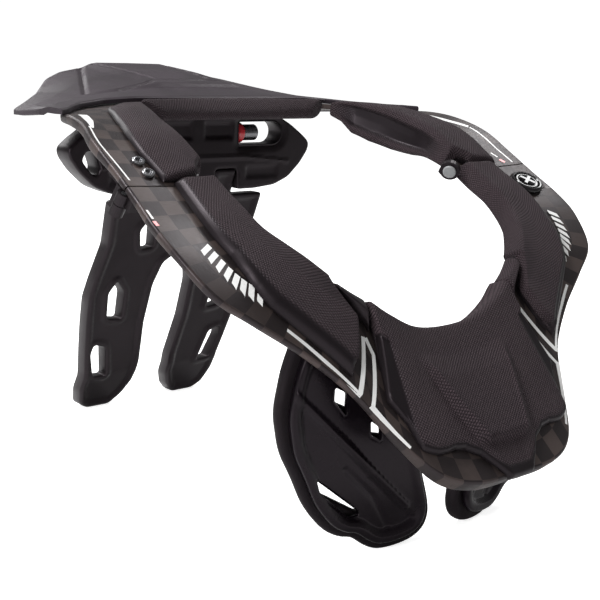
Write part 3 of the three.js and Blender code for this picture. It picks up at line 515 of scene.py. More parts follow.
def pad_rings(span, stations, border, depth, crown, count, relief, length, bevel=PAD_BEVEL, hollow=None, lip=None):
    """Closed sections of a pad, with the smooth mask of each point.

    span, border, depth and crown set where the pad lies and how thick it is. relief(place, share, edge)
    gives extra height and the mask, hollow scoops out the inner wall, lip hangs the outer edge over the rim.
    """
    station = np.linspace(0, 1, stations)[:, None]
    f = np.linspace(0, 1, 60)[None, :]
    centre = np.abs(span(station, 0.5))
    reach = border(centre)
    share = reach * f
    place = span(station, share)
    _, _, _, _, width, seat, _ = collar_frame(place)
    out = (2 + 2 * np.minimum(f / 0.12, 1)) * MM * (1 - f) - bevel * f
    edge = reach * width - (share * width + out)
    extra, smooth = relief(place, share, edge)
    end = pad_end(np.minimum(station, 1 - station) * length)
    crowned = seat * (1 - share) + (0.6 + 2.8 * share) * MM + crown(centre) * share + extra
    top = SEAT_GAP + (crowned - SEAT_GAP) * end
    ring, mask = [], []

    def add(share_at, out_at, rise_at, bare):
        share_at, out_at, rise_at, bare = np.broadcast_arrays(share_at, out_at, rise_at, bare, subok=False)
        ring.append(collar(span(station, share_at), share_at, out_at, rise_at))
        mask.append(np.asarray(bare, float))

    one = np.ones_like(station)
    for k in (1, 0.75, 0.5, 0.25, 0.1):
        add(reach * k, 0 * one, SEAT_GAP * one, one)
    deep = depth(centre)
    first = top[:, :1]
    scooped = hollow(centre) if hollow else 0 * centre
    scoop = SCOOP_DEPTH * scooped
    hang = lip(centre) if lip else 0 * centre
    for out_at, rise_at, bare in (
        (HANG, SEAT_GAP * one, 1), (HANG, 1 * MM - deep, 1), (HANG * 0.4, -deep, 1),
        (-PAD_LIP * 0.5, 0.8 * MM - deep, 0), (-PAD_LIP, 2.5 * MM - deep, 0), (-PAD_LIP * 0.8, -deep * 0.72, 0),
        (scoop - PAD_LIP * 0.8, -deep * 0.6, scooped), (scoop - PAD_LIP * 0.6, -deep * 0.25, scooped),
        (scoop * 0.7 - PAD_LIP * 0.4, 0.5 * MM * one, scooped),
        (-PAD_LIP * 0.3, first * 0.45, 0), (0, first * 0.78, 0),
    ):
        add(0 * one, out_at * one, rise_at, bare * one)
    add(share, out, top, smooth)
    folded = np.clip(hang / LIP_FULL, 0, 1)
    over, flat = LIP_OVER * folded, 1 - folded
    add(reach, 0.6 * over - bevel * 0.6 * flat, SEAT_GAP + (top[:, -1:] - SEAT_GAP) * 0.85, one)
    add(reach, over - bevel * 0.25 * flat, SEAT_GAP + (top[:, -1:] - SEAT_GAP) * 0.5, one)
    if lip:
        add(reach, over, SEAT_GAP - hang, one)
        add(reach, over * 0.65, SEAT_GAP - hang, one)
    return even(np.concatenate(ring, axis=1), np.concatenate(mask, axis=1), count)


def bead(edge, width, height):
    t = np.clip(edge / width, 0, 1)
    return height * 0.5 * (1 - np.cos(2 * np.pi * t))


def dip(distance, width, depth):
    return -depth * np.exp(-(distance / width) ** 2)


def below(value, limit, blur):
    """1 where the value is under the limit and 0 above it, with a short blend."""
    return 1 / (1 + np.exp((value - limit) / blur))


def make_pad(name, rings_and_mask, body, node_name):
    rings, mask = rings_and_mask
    piece = loft(name, rings, {"smooth": mask}, guide=int(0.7 * rings.shape[1]))
    dress(piece, foam, body, "foam", node_name)
    return piece


# %% Side pads
SIDE_BORDER = [(4, .86), (5, .82), (5.9, .75), (6.5, .65), (7, .58), (7.6, .52), (8.5, .5), (10.4, .46)]
SIDE_END = [(0, 4.9), (.1, 4.25), (.2, 3.75), (.6, 3.85), (.86, 4.05)]


def side_relief(place, share, edge):
    wide = table([(4, 1.5), (5.9, 1.25), (7, 1), (8.5, 0.85)], np.abs(place))
    ridge_height = table([(4, 0.3), (5.6, 0.5), (6.3, 1.2), (10.4, 1.2)], np.abs(place)) * MM
    rise = bead(edge, 2.6 * MM * wide, ridge_height) + dip(edge - 3.7 * MM * wide, 0.8 * MM * wide, 0.9 * MM)
    rise = rise - 1.2 * MM * np.clip(1 - edge / (7 * MM), 0, 1)
    return rise, below(edge, 4.9 * MM * wide, 0.2 * MM)


for label, side in (("left", -1), ("right", 1)):
    def side_span(station, share, side=side):
        start = table(SIDE_END, share)
        return side * (start + (SEAM + 0.05 - start) * station)

    rings = pad_rings(side_span, 230, lambda at: table(SIDE_BORDER, at), lambda at: 5 * MM + 0 * at,
                      lambda at: table([(4, 2.6), (6, 2.2), (7.5, .4)], at) * MM, 150, side_relief, 0.115)
    pad = make_pad("side_pad_%s_foam" % label, rings, "front", "side_pad_" + label)
    if side > 0:
        room = lathe("bezel_room", [(0, -0.4 * MM), (10.2 * MM, -0.4 * MM), (10.2 * MM, 20 * MM), (0, 20 * MM)],
                     button_seat)
        carve(pad, room)

# %% Rear pads
REAR_BORDER = [(10.4, .56), (11.5, .59), (12.5, .57), (13.5, .53), (14.5, .47), (15.7, .4)]
REAR_END = [(0, 11.02), (.12, 10.62), (.3, 10.56)]
REAR_WALL = [(10.4, .36), (11, .52), (12, .8), (13, .94), (14, .97), (14.6, .88), (15, .58), (15.7, .32)]
REAR_SCOOP = [(10.75, 0), (11.5, .8), (12.2, 1), (14.6, 1), (15.4, 0)]


def rear_relief(place, share, edge):
    fall = 2.9 * MM * np.clip(1 - edge / (11 * MM), 0, 1) ** 1.5
    return -fall, below(edge, 0.9 * MM, 0.15 * MM)


for label, side in (("left", -1), ("right", 1)):
    def rear_span(station, share, side=side):
        start = table(REAR_END, share)
        return side * (start + (15.65 - 0.5 * share - start) * station)

    rings = pad_rings(rear_span, 200, lambda at: table(REAR_BORDER, at), lambda at: 17 * MM * table(REAR_WALL, at),
                      lambda at: 0 * at, 160, rear_relief, 0.1, bevel=2.6 * MM,
                      hollow=lambda at: table(REAR_SCOOP, at))
    make_pad("rear_pad_%s_foam" % label, rings, "rear", "rear_pad_" + label)

# %% [markdown]
# The front pad carries the brace's face: a raised trapezoid, wide at the throat and narrow
# at the chest, with smooth bevels down both sides. It is drawn by the same sections. Its
# knurl runs in straight rows, so its UV map is laid from the front instead of along the ring.

# %% Front pad
CHEST_BORDER = [(0, .985), (.3, .98), (.5, .93), (.75, .84), (1.1, .8), (1.4, .81), (1.9, .87), (2.4, .92), (2.6, .8),
                (3.1, .74)]
CHEST_LIP = [(.22, 3.4), (.5, 0)]
CHEST_END = [(0, 3), (.25, 2.9), (.72, 3.1), (1, 3)]
FACE_RUN, FACE_CLIMB = 0.8, 0.6


def front_relief(place, share, edge):
    half = table([(.25, 1.35), (.8, .62)], share)
    inside = np.clip((half + 0.12 - np.abs(place)) / 0.24, 0, 1)
    tall = table([(.17, 0), (.32, .8), (.77, 1), (.81, 0)], share)
    panel = 3.3 * MM * inside * tall
    crest = 0.7 * MM * np.exp(-((np.abs(place) - half + 0.12) / 0.05) ** 2) * tall
    lower = dip(edge - 3.4 * MM, 0.6 * MM, 0.5 * MM)
    flank = below(-np.abs(place), -2.5, 0.03) * (share > 0.2)
    smooth = np.maximum(below(edge, 3 * MM, 0.2 * MM), flank)
    return panel + crest + lower - 0.9 * MM * flank, smooth


rings = pad_rings(lambda station, share: (2 * station - 1) * table(CHEST_END, share), 330,
                  lambda at: table(CHEST_BORDER, at), lambda at: 6 * MM + 0 * at, lambda at: 0 * at,
                  190, front_relief, 0.16, bevel=2.4 * MM, lip=lambda at: table(CHEST_LIP, at) * MM)
front_pad = make_pad("front_pad_foam", rings, "front", "front_pad")
for corner, point in zip(front_pad.data.uv_layers.active.data, front_pad.data.loops):
    x, y, z = front_pad.data.vertices[point.vertex_index].co
    corner.uv = (x, FACE_RUN * y + FACE_CLIMB * z)

# %% [markdown]
# Two strips carry the inner roll on from the front pad to the side pads, a smooth one at the
# left and a knurled one at the right, and a thick roll closes the ring behind the neck. They
# are small, but without them the pads would look like separate cushions instead of one
# moulded set.

# %% Pad links and neck pad

LINK_START, NECK_START = 3.12, 16.12
LINK_END = [(0, 4.65), (.12, 3.45), (.25, 3)]
link_rise = collar_frame(np.float64(LINK_START))[5] + 0.6 * MM
for label, side in (("left", -1), ("right", 1)):
    station = np.linspace(0, 1, 60)[:, None]
    reach = 0.16 - 0.13 * station
    top = SEAT_GAP + (link_rise - SEAT_GAP) * pad_end(np.minimum(station, 1 - station) * 0.03) * 0.8
    points = []
    for share, out, rise in (
        (reach, HANG, SEAT_GAP), (0, HANG, SEAT_GAP), (0, HANG, -4.5 * MM), (0, 0.5 * MM, -4.5 * MM),
        (0, -0.9 * MM, -1 * MM), (0, 0.6 * MM, top * 0.8), (reach * 0.4, 2.2 * MM, top),
        (reach, HANG - 1.2 * MM, SEAT_GAP + top * 0.4),
    ):
        share, out, rise = (v * np.ones_like(station) for v in (share, out, rise))
        place = side * (LINK_START + (table(LINK_END, share) - LINK_START) * station)
        points.append(collar(place, share, out, rise)[:, 0])
    rings = soften(np.stack(points, axis=1), 1.4 * MM)
    link = loft("pad_link_%s_skin" % label, rings)
    dress(link, trim if side < 0 else foam, "front", "trim", "pad_link_" + label)

station = np.linspace(0, 1, 260)[:, None]
place = NECK_START + 2 * (LAST - NECK_START) * station
end = pad_end(np.minimum(station, 1 - station) * 0.14, 6 * MM)
deep, drop = 8.5 * MM * end, 9.5 * MM * end
roll = [(HANG, 1 * MM - drop), (0 * end, -drop), (1.5 * MM - deep, 0.6 * MM - drop), (-deep, 3 * MM - drop),
        (1 * MM - deep, -drop * 0.35), (-deep * 0.35, 0.6 * MM * end), (0.5 * MM + 0 * end, 2.4 * MM * end + 0.2 * MM),
        (HANG, 2.4 * MM * end + SEAT_GAP)]
points = [collar(place, 0.0, out * np.ones_like(end), rise)[:, 0] for out, rise in roll]
rings, mask = even(soften(np.stack(points, axis=1), 2.5 * MM), np.zeros((260, len(roll) * 4)), 80, passes=2)
make_pad("neck_pad_foam", (rings, mask), "rear", "neck_pad")

# %% [markdown]
# ## Moulded plates
# The carrier, the strut and the chest plates are flat mouldings with rounded edges, holes,
# grooves and raised lines. Cutting those out of a block with booleans leaves hard edges, so
# each plate is meshed afresh instead: the outline and holes are rounded, the inside is
# filled with a fine even net, and the front is then pushed in or out by distance.

# %% A fine net inside an outline


def rounded(points, radius, spacing):
    ring = np.array([[(x, z, 0.0) for x, z in points]], float)
    ring = soften(ring, radius, 6)[0, :, :2]
    closed = np.vstack([ring, ring[:1]])
    run = np.concatenate([[0], np.cumsum(np.linalg.norm(np.diff(closed, axis=0), axis=1))])
    count = max(8, int(run[-1] / spacing))
    at = np.linspace(0, run[-1], count, endpoint=False)
    return np.stack([np.interp(at, run, closed[:, 0]), np.interp(at, run, closed[:, 1])], axis=1)


def inside_of(points, ring):
    a, b = ring, np.roll(ring, -1, axis=0)
    x, z = points[:, :1], points[:, 1:]
    crosses = ((a[:, 1] > z) != (b[:, 1] > z)) & (
        x < (b[:, 0] - a[:, 0]) * (z - a[:, 1]) / np.where(b[:, 1] == a[:, 1], 1e-12, b[:, 1] - a[:, 1]) + a[:, 0])
    return crosses.sum(axis=1) % 2 == 1


def line_distance(points, path, closed=False):
    path = np.asarray(path, float)
    a = path if closed else path[:-1]
    b = np.roll(path, -1, axis=0) if closed else path[1:]
    best = np.full(len(points), 1e9)
    for p, q in zip(a, b):
        d = q - p
        t = np.clip(((points - p) @ d) / max(d @ d, 1e-18), 0, 1)
        best = np.minimum(best, np.linalg.norm(points - (p + t[:, None] * d), axis=1))
    return best


def net(outline, holes, cell, edge, contours=()):
    """Points, triangles and border loops of a plate; contours are extra lines of points."""
    loops = [outline] + list(holes)
    steps = [edge * k for k in (0.12, 0.35, 0.65, 1.0)]
    rings = []
    for number, loop in enumerate(loops):
        ahead, behind = np.roll(loop, -1, axis=0), np.roll(loop, 1, axis=0)
        way = unit(ahead - behind)
        side = np.stack([-way[:, 1], way[:, 0]], axis=1)
        probe = inside_of(loop + side * 0.2 * MM, loop).mean() > 0.5
        inward = side if (probe == (number == 0)) else -side
        rings += [loop + inward * s for s in steps]
        if number == 0:
            rings += [loop + inward * s for s in contours]
    low, high = outline.min(axis=0), outline.max(axis=0)
    gx, gz = np.meshgrid(np.arange(low[0], high[0], cell), np.arange(low[1], high[1], cell * 0.87))
    gx[1::2] += cell / 2
    grid = np.stack([gx.ravel(), gz.ravel()], axis=1)
    spare = np.vstack([grid] + rings)
    keep = inside_of(spare, outline)
    for hole in holes:
        keep &= ~inside_of(spare, hole)
    spare = spare[keep]
    near = np.min([line_distance(spare, loop, True) for loop in loops], axis=0)
    from_ring = np.arange(len(spare)) >= keep[:len(grid)].sum()
    clear = near > 1.25 * edge
    for s in contours:
        clear &= np.abs(line_distance(spare, outline, True) - s) > 0.3 * MM
    spare = spare[np.where(from_ring, near > 0.08 * edge, clear)]
    points = np.vstack(loops + [spare])
    borders, first = [], 0
    for loop in loops:
        borders.append([first + k for k in range(len(loop))])
        first += len(loop)
    edges = [(b[k], b[(k + 1) % len(b)]) for b in borders for k in range(len(b))]
    verts, _, faces, origin, _, _ = delaunay_2d_cdt([Vector(p) for p in points.tolist()], edges, [], 0, 1e-7)
    flat = np.array([v[:] for v in verts])
    tris = np.array([f for f in faces if len(f) == 3])
    middle = flat[tris].mean(axis=1)
    good = inside_of(middle, outline)
    for hole in holes:
        good &= ~inside_of(middle, hole)
    tris = tris[good]
    back_to = {}
    for new, olds in enumerate(origin):
        for old in olds:
            back_to[old] = new
    borders = [[back_to[k] for k in b] for b in borders]
    near = np.min([line_distance(flat, loop, True) for loop in loops], axis=0)
    outer = line_distance(flat, outline, True)
    return flat, tris, borders, near, outer


def plate(name, outline, holes, thick, to_space, relief=None, edge=1.2 * MM, cell=1.4 * MM, back_edge=0.8 * MM,
          contours=()):
    """A moulded plate; to_space maps (x, z, depth) to the part, with depth 0 at the front."""
    flat, tris, borders, near, outer = net(outline, holes, cell, edge, contours)
    t = np.clip(near / edge, 0, 1)
    front = edge * (1 - np.sqrt(1 - (1 - t) ** 2))
    if relief is not None:
        front = front - relief(flat, near, outer) * np.clip(near / (0.6 * edge), 0, 1)
    tb = np.clip(near / back_edge, 0, 1)
    back = thick - back_edge * (1 - np.sqrt(1 - (1 - tb) ** 2))
    front = np.minimum(front, back - 0.6 * MM)
    points = np.vstack([to_space(flat[:, 0], flat[:, 1], front), to_space(flat[:, 0], flat[:, 1], back)])
    count = len(flat)
    faces = [tuple(f) for f in tris.tolist()] + [tuple(k + count for k in reversed(f)) for f in tris.tolist()]
    rim = {}
    for a, b, c in tris.tolist():
        for p, q in ((a, b), (b, c), (c, a)):
            rim[(p, q)] = True
    for p, q in list(rim):
        if (q, p) not in rim:
            faces.append((q, p, p + count, q + count))
    piece = finish_mesh(name, points, faces, sharp=50)
    if not turned_out(points, faces):
        piece.data.flip_normals()
    return piece


def signed_side(points, a, b):
    """Distance of points to the left of the line from a to b."""
    way = unit(np.subtract(b, a))
    return way[0] * (points[:, 1] - a[1]) - way[1] * (points[:, 0] - a[0])


def ridge(distance, half, height):
    return height * np.clip(1 - (distance / half) ** 2, 0, 1) ** 0.6


def groove(distance, half, depth):
    return -depth * np.clip(1 - (distance / half) ** 2, 0, 1)


# %% [markdown]
# The carrier hangs under the shell behind the neck. Two slots let the strut's pins slide, so
# that the strut can be set for riders of other builds. Its front has two raised lines, four
# shallow panels and a bevelled pocket round each slot.

# %% Carrier
CARRIER_HALF, CARRIER_HEIGHT, CARRIER_DEPTH = 88 * MM, 51 * MM, 15 * MM
CARRIER_FRONT, CARRIER_FLOOR, SLOT_Z = 86.69 * MM, 146.17 * MM, 180.67 * MM
CARRIER_OUTLINE = [(0, 1), (.36, 1), (.66, .92), (.82, .78), (.94, .64), (1, .55), (.99, .45), (.92, .29),
                   (.81, .12), (.68, .03), (.5, 0)]
NOTCH = [(30 * MM, 0), (30 * MM, 13 * MM), (13 * MM, 13 * MM), (13 * MM, 0)]
half = [(x * CARRIER_HALF, CARRIER_FLOOR + z * CARRIER_HEIGHT) for x, z in CARRIER_OUTLINE]
half += [(x, CARRIER_FLOOR + z) for x, z in NOTCH]


def mirrored(points):
    return list(points) + [(-x, z) for x, z in reversed(points) if x > 0]


arc = np.linspace(-np.pi / 2, np.pi / 2, 9)
slot = [(31 * MM, SLOT_Z - 7 * MM)] + [(58 * MM + 7 * MM * math.cos(a), SLOT_Z + 7 * MM * math.sin(a)) for a in arc]
slot += [(31 * MM, SLOT_Z + 7 * MM)]
carrier_outline = rounded(mirrored(half), 3 * MM, 1.2 * MM)
slots = [rounded([(s * x, z) for x, z in slot], 1.2 * MM, 1 * MM) for s in (-1, 1)]
wing_window = rounded([(x * MM, z * MM) for x, z in ((-79, 167.5), (-76.5, 172.5), (-71, 173), (-67.5, 163),
                                                     (-69.5, 158.5), (-73.5, 160.5))], 1.6 * MM, 0.9 * MM)


def carrier_relief(flat, near, outer):
    to_slot = np.minimum(line_distance(flat, slots[0], True), line_distance(flat, slots[1], True))
    pocket = np.where(to_slot < 5 * MM, -(5 * MM - to_slot) * 0.35, 0)
    spine = ridge(line_distance(flat, [(-60 * MM, .1885), (-22 * MM, .1925), (22 * MM, .1925), (60 * MM, .1885)]),
                  1.1 * MM, 0.8 * MM)
    lower = ridge(line_distance(flat, [(-70 * MM, .1625), (-34 * MM, .1665), (34 * MM, .1665), (70 * MM, .1625)]),
                  1.1 * MM, 0.8 * MM)
    x, z = np.abs(flat[:, 0]), flat[:, 1]

    def recess(low, high, deep):
        gap = np.min([x - low[0], high[0] - x, z - low[1], high[1] - z], axis=0)
        return -deep * np.clip(gap / (1.4 * MM), 0, 1)

    panels = recess((4 * MM, .1775), (26 * MM, .1885), 1.4 * MM) + recess((36 * MM, .1525), (62 * MM, .1605), 1.1 * MM)
    return pocket + (spine + lower) * (to_slot > 2 * MM) + panels


carrier = plate("carrier_moulding", carrier_outline, slots + [wing_window], CARRIER_DEPTH,
                lambda x, z, d: np.stack([x, CARRIER_FRONT + d, z], axis=1), carrier_relief, edge=1.6 * MM)
dress(carrier, plastic, "rear", "plastic", "carrier")

# %% [markdown]
# The strut is a two-legged fork that spreads the load beside the spine. Its legs lean back
# and its feet kick out. A recessed middle and a raised rim make it stiff but light, and
# three windows are cut through each leg.

# %% Strut
STRUT_TOP, STRUT_HALF, STRUT_THICK = 142.57 * MM, 59 * MM, 10 * MM
STRUT_FRONT, STRUT_LEAN, LUG_TOP, FOOT_TOP, FOOT_KICK = 92.69 * MM, 0.35, 158.77 * MM, 25 * MM, 0.22
STRUT_OUTLINE = [(.93, 1), (.92, .93), (.9, .81), (.97, .66), (1, .57), (.97, .45), (.92, .31), (.87, .19),
                 (.87, .11), (.81, .03), (.7, 0), (.42, 0), (.3, .05), (.22, .12), (.2, .22), (.22, .3),
                 (.25, .42), (.24, .6), (.17, .7), (0, .75)]
STRUT_WINDOWS = [[(.34, .78), (.49, .775), (.54, .86), (.46, .905), (.38, .88)],
                 [(.55, .45), (.73, .46), (.77, .58), (.69, .635), (.58, .58)],
                 [(.6, .17), (.76, .175), (.84, .29), (.82, .335), (.68, .32)]]
lug = [(13.4 * MM, STRUT_TOP), (13.4 * MM, LUG_TOP), (29.6 * MM, LUG_TOP), (29.6 * MM, STRUT_TOP)]
scaled = [(x * STRUT_HALF, z * STRUT_TOP) for x, z in STRUT_OUTLINE]
strut_outline = rounded(mirrored(lug + scaled), 2.4 * MM, 1.2 * MM)
windows = [rounded([(s * x * STRUT_HALF, z * STRUT_TOP) for x, z in w], 2 * MM, 0.9 * MM)
           for w in STRUT_WINDOWS for s in (-1, 1)]


def strut_space(x, z, d):
    lean = STRUT_LEAN * (STRUT_TOP - z) + FOOT_KICK * np.maximum(FOOT_TOP - z, 0)
    return np.stack([x, STRUT_FRONT + d + lean, z], axis=1)


def strut_relief(flat, near, outer):
    to_window = np.min([line_distance(flat, w, True) for w in windows], axis=0)
    middle = -1.3 * MM * np.clip((outer - 4 * MM) / (1.2 * MM), 0, 1)
    frame_up = 1.3 * MM * np.clip((4.2 * MM - to_window) / (1.2 * MM), 0, 1)
    return np.minimum(middle + frame_up, 0) + ridge(outer - 2.2 * MM, 0.9 * MM, 0.4 * MM)


strut = plate("strut_moulding", strut_outline, windows, STRUT_THICK, strut_space, strut_relief, edge=1.6 * MM)
dress(strut, plastic, "rear", "plastic", "strut")

# %% [markdown]
# Two glossy plates lie on the rider's chest, each on its own foam. They are dished inside
# the rim, a long crease runs from the top corner to the foot, and fan-shaped ribs and windows
# fill the inner half. The foam is 5 mm larger all round, so it shows as a dull border.

# %% Chest plates and their foam
CHEST_WIDTH, CHEST_HEIGHT, MEDIAL, YAW = 88 * MM, 112 * MM, 10 * MM, math.radians(11.5)
CHEST_OUTLINE = [(.88, 1), (.95, .85), (.99, .67), (.95, .5), (.87, .38), (.81, .27), (.75, .2), (.67, .13),
                 (.58, .09), (.5, .08), (.42, .03), (.34, 0), (.22, 0), (.1, .02), (.03, .06), (0, .12), (.01, .19),
                 (.06, .32), (.13, .5), (.24, .68), (.42, .8), (.62, .9), (.76, 1.03), (.8, 1.16), (.88, 1.16)]
CHEST_WINDOWS = [[(.676, .767), (.601, .735), (.601, .64), (.678, .708)],
                 [(.448, .603), (.382, .565), (.377, .511), (.443, .54)],
                 [(.761, .379), (.495, .21), (.494, .192), (.557, .193), (.739, .323)]]
CHEST_CREASE, CHEST_DIP = ((.907, .754), (.565, .492), (.194, .198)), ((.58, .4), (.40, .26), (.3, .12))
CHEST_RIBS = (((.593, .708), (.489, .479)), ((.321, .451), (.198, .244)), ((.468, .696), (.418, .372)),
              ((.72, .86), (.66, .62)), ((.25, .6), (.17, .36)))
CHEST_FRONT = -129.743 * MM


def under_shell():
    """Everything above the front shell's underside, to trim what seats against it."""
    place = np.linspace(-SEAM, SEAM, 120)[:, None]
    rim = np.maximum(collar_frame(place)[6], SHELL_WALL + 0.2 * MM) + SEAT_GAP
    wall, up, zero = SHELL_WALL + SEAT_GAP, 34 * MM, np.zeros_like(place)
    corners = [(1, SEAT_GAP, zero - 1.6 * MM), (1, SEAT_GAP, -rim), (1, -wall, -rim), (1, -wall, zero - wall),
               (0.5, 0, zero - wall), (0, SHELL_INSET - SEAT_GAP, zero - wall), (0, -up, zero + up),
               (1, SEAT_GAP, zero + up)]
    rings = np.stack([collar(place, s, o, r)[:, 0] for s, o, r in corners], axis=1)
    return loft("under_shell", rings)


def chest_space(side, near):
    turn = side * YAW

    def to_space(x, z, d):
        flat = x - side * MEDIAL
        depth = near + d
        return np.stack([side * MEDIAL + flat * math.cos(turn) - depth * math.sin(turn),
                         CHEST_FRONT + flat * math.sin(turn) + depth * math.cos(turn), z], axis=1)
    return to_space


for label, side in (("left", -1), ("right", 1)):
    def at(point, inset=0.0, side=side):
        x = 0.5 + (point[0] - 0.5) * (1 - 2 * inset / CHEST_WIDTH)
        z = 0.5 + (point[1] - 0.5) * (1 - 2 * inset / CHEST_HEIGHT)
        return (side * (MEDIAL + CHEST_WIDTH * x), CHEST_HEIGHT * z)

    outline = rounded([at(p, 5 * MM) for p in CHEST_OUTLINE], 5 * MM, 1.1 * MM)
    holes = [rounded([at(p) for p in w], 1.4 * MM, 0.8 * MM) for w in CHEST_WINDOWS]

    def chest_relief(flat, near, outer, at=at, side=side):
        crease = line_distance(flat, [at(p) for p in CHEST_CREASE])
        ribs = np.min([line_distance(flat, [at(p), at(q)]) for p, q in CHEST_RIBS], axis=0)
        low = line_distance(flat, [at(p) for p in CHEST_DIP])
        inward = signed_side(flat, at(CHEST_CREASE[0]), at(CHEST_CREASE[-1])) * side
        inner_half = np.clip(inward / (2 * MM), 0, 1)
        fan = 1.0 * MM * np.clip(1 - ribs / (3.2 * MM), 0, 1) * inner_half - 1.2 * MM * inner_half
        slope = np.clip((outer - 2.6 * MM) / (3.4 * MM), 0, 1)
        dish = -1.0 * MM * slope * slope * (3 - 2 * slope)
        lines = ridge(crease, 2.2 * MM, 0.9 * MM) + groove(low, 2 * MM, 0.5 * MM)
        return dish + lines + fan * np.clip((outer - 5 * MM) / (2 * MM), 0, 1)

    moulding = plate("chest_plate_%s_moulding" % label, outline, holes, 4 * MM, chest_space(side, 0.0),
                     chest_relief, edge=1.3 * MM, cell=1.05 * MM,
                     contours=(2.6 * MM, 3.5 * MM, 4.4 * MM, 5.3 * MM, 6.2 * MM))
    carve(moulding, under_shell())
    dress(moulding, gloss, "front", "gloss", "chest_plate_" + label)
    rim = rounded([at(p) for p in CHEST_OUTLINE], 6 * MM, 1.3 * MM)
    wider = [rounded([at((x - (0.085 if x < split else -0.01), z)) for x, z in w], 1.4 * MM, 1 * MM)
             for w, split in zip(CHEST_WINDOWS, (.64, .41, .6))]
    backing = plate("chest_pad_%s_foam" % label, rim, wider, 8 * MM, chest_space(side, 4.4 * MM),
                    edge=2.4 * MM, cell=2.4 * MM, back_edge=4.2 * MM)
    carve(backing, under_shell())
    dress(backing, chest_foam, "front", "foam", "chest_pad_" + label)

# %% [markdown]
# ## Tail plate
# Behind the neck the brace carries a broad plate that rises to the rear and lands on the
# rider's back when the head tips over. Its width is given by sections across the brace,
# joined smoothly, and the seams pressed into it are grooves along listed lines.

# %% Tail plate
TAIL_X = np.array([0, .188, .238, .347, .44, .57, .7, .794, .852, .903])
TAIL = {
    "front": [.834, .834, .834, .834, .834, .844, .81, .742, .687, .66],
    "front_rise": [0, 0, 0, 0, 0, -.08, -.18, -.23, -.24, -.26],
    "crease": [.961, .961, .962, .966, .97, .939, .871, .817, .749, .687],
    "crease_rise": [.24, .24, .22, .14, .04, -.08, -.19, -.24, -.26, -.27],
    "step": [.16, .16, .1, .08, .06, 0, 0, 0, 0, 0],
    "rear": [1, .989, .989, 1, .905, .608, .351, .17, -.131, -.62],
    "rear_rise": [1, .99, .79, .6, .34, -.14, -.42, -.6, -.55, -.36],
}
TAIL_OVERHANG, TAIL_THICK, TAIL_RISE, TAIL_LIP = 74 * MM, 3 * MM, 15.3 * MM, 3 * MM
BRIDGE_TOP, TAIL_GAP = 200.97 * MM, 0.8 * MM
TAIL_GROOVES = [
    [(-53, 198), (-15, 210), (15, 210), (53, 198)], [(33, 278), (75, 200)], [(-33, 278), (-75, 200)],
    [(26, 277), (20, 214)], [(-26, 277), (-20, 214)],
]


def tail_rings(columns=220, rows=110):
    x = np.linspace(-TAIL_X[-1], TAIL_X[-1], columns)
    value = {key: np.interp(np.abs(x), TAIL_X, TAIL[key]) for key in TAIL}
    rises = (value["front_rise"], value["crease_rise"], value["crease_rise"] + value["step"],
             (value["crease_rise"] + value["step"] + value["rear_rise"]) / 2 + 0.05, value["rear_rise"])
    front_z, crease_z, step_z, middle_z, rear_z = (
        BRIDGE_TOP + TAIL_GAP + TAIL_THICK + TAIL_RISE * rise for rise in rises)
    front, crease = value["front"] * LENGTH, value["crease"] * LENGTH
    rear = LENGTH + value["rear"] * TAIL_OVERHANG
    middle = (crease + rear) / 2
    lip = TAIL_THICK + TAIL_LIP * np.clip(value["rear"], 0, 1)
    top = [(front, front_z - MM), (front + MM, front_z), (crease, crease_z), (crease + 2 * MM, step_z),
           (middle, middle_z), (rear - 2 * MM, rear_z), (rear, rear_z - MM)]
    under = [(rear, rear_z - lip), (rear - 3 * MM, rear_z - lip), (rear - 5 * MM, rear_z - TAIL_THICK),
             (middle, middle_z - TAIL_THICK), (crease + 2 * MM, crease_z - TAIL_THICK),
             (front + 2 * MM, front_z - TAIL_THICK), (front, front_z - TAIL_THICK)]
    rings = np.empty((columns, 2 * rows, 3))
    for c in range(columns):
        for first, chain in ((0, top), (rows, under)):
            y = np.array([p[0][c] for p in chain])
            z = np.array([p[1][c] for p in chain])
            run = np.concatenate([[0], np.cumsum(np.hypot(np.diff(y), np.diff(z)))])
            at = np.linspace(0, run[-1], rows)
            rings[c, first:first + rows, 1] = np.interp(at, run, y)
            rings[c, first:first + rows, 2] = np.interp(at, run, z)
        rings[c, :, 0] = x[c] * HALF_WIDTH
    for _ in range(3):
        rings[1:-1] = 0.5 * rings[1:-1] + 0.25 * (rings[2:] + rings[:-2])
        inner = rings[:, 1:rows - 1]
        rings[:, 1:rows - 1] = 0.5 * inner + 0.25 * (rings[:, 2:rows] + rings[:, :rows - 2])
    plan = rings[:, 2:rows - 2, :2].reshape(-1, 2)
    depth = np.zeros(len(plan))
    for path in TAIL_GROOVES:
        depth = np.minimum(depth, groove(line_distance(plan, np.array(path) * MM), 1.6 * MM, 1.7 * MM))
    rings[:, 2:rows - 2, 2] += depth.reshape(columns, -1)
    rings[..., 1] += CENTRING
    return rings


tail = loft("tail_plate_skin", tail_rings(), sharp=50)
dress(tail, tail_painted_light, "rear", "plastic", "tail_plate")

# %% [markdown]
# ## Turned and fitted small parts
# The adjuster pins and their red collars, the release button in its moulded ring and the
# latch's pin are all turned parts. A profile swept about an axis gives them their chamfers,
# which a plain cylinder lacks.

# %% Pins, collars, button and latch


def spin_between(a, b):
    """A matrix that puts z = 0 at a and points z towards b."""
    a, b = Vector(a), Vector(b)
    turn = (b - a).to_track_quat("Z", "Y").to_matrix().to_4x4()
    turn.translation = a
    return turn


def rod(radius, length, chamfer, hollow=0.0):
    profile = [(0, 0), (radius - chamfer, 0), (radius, chamfer), (radius, length - chamfer),
               (radius - chamfer, length)]
    if hollow:
        profile += [(hollow, length), (hollow - 0.3 * MM, length - 0.6 * MM), (0, length - 0.6 * MM)]
    else:
        profile += [(0, length)]
    return profile


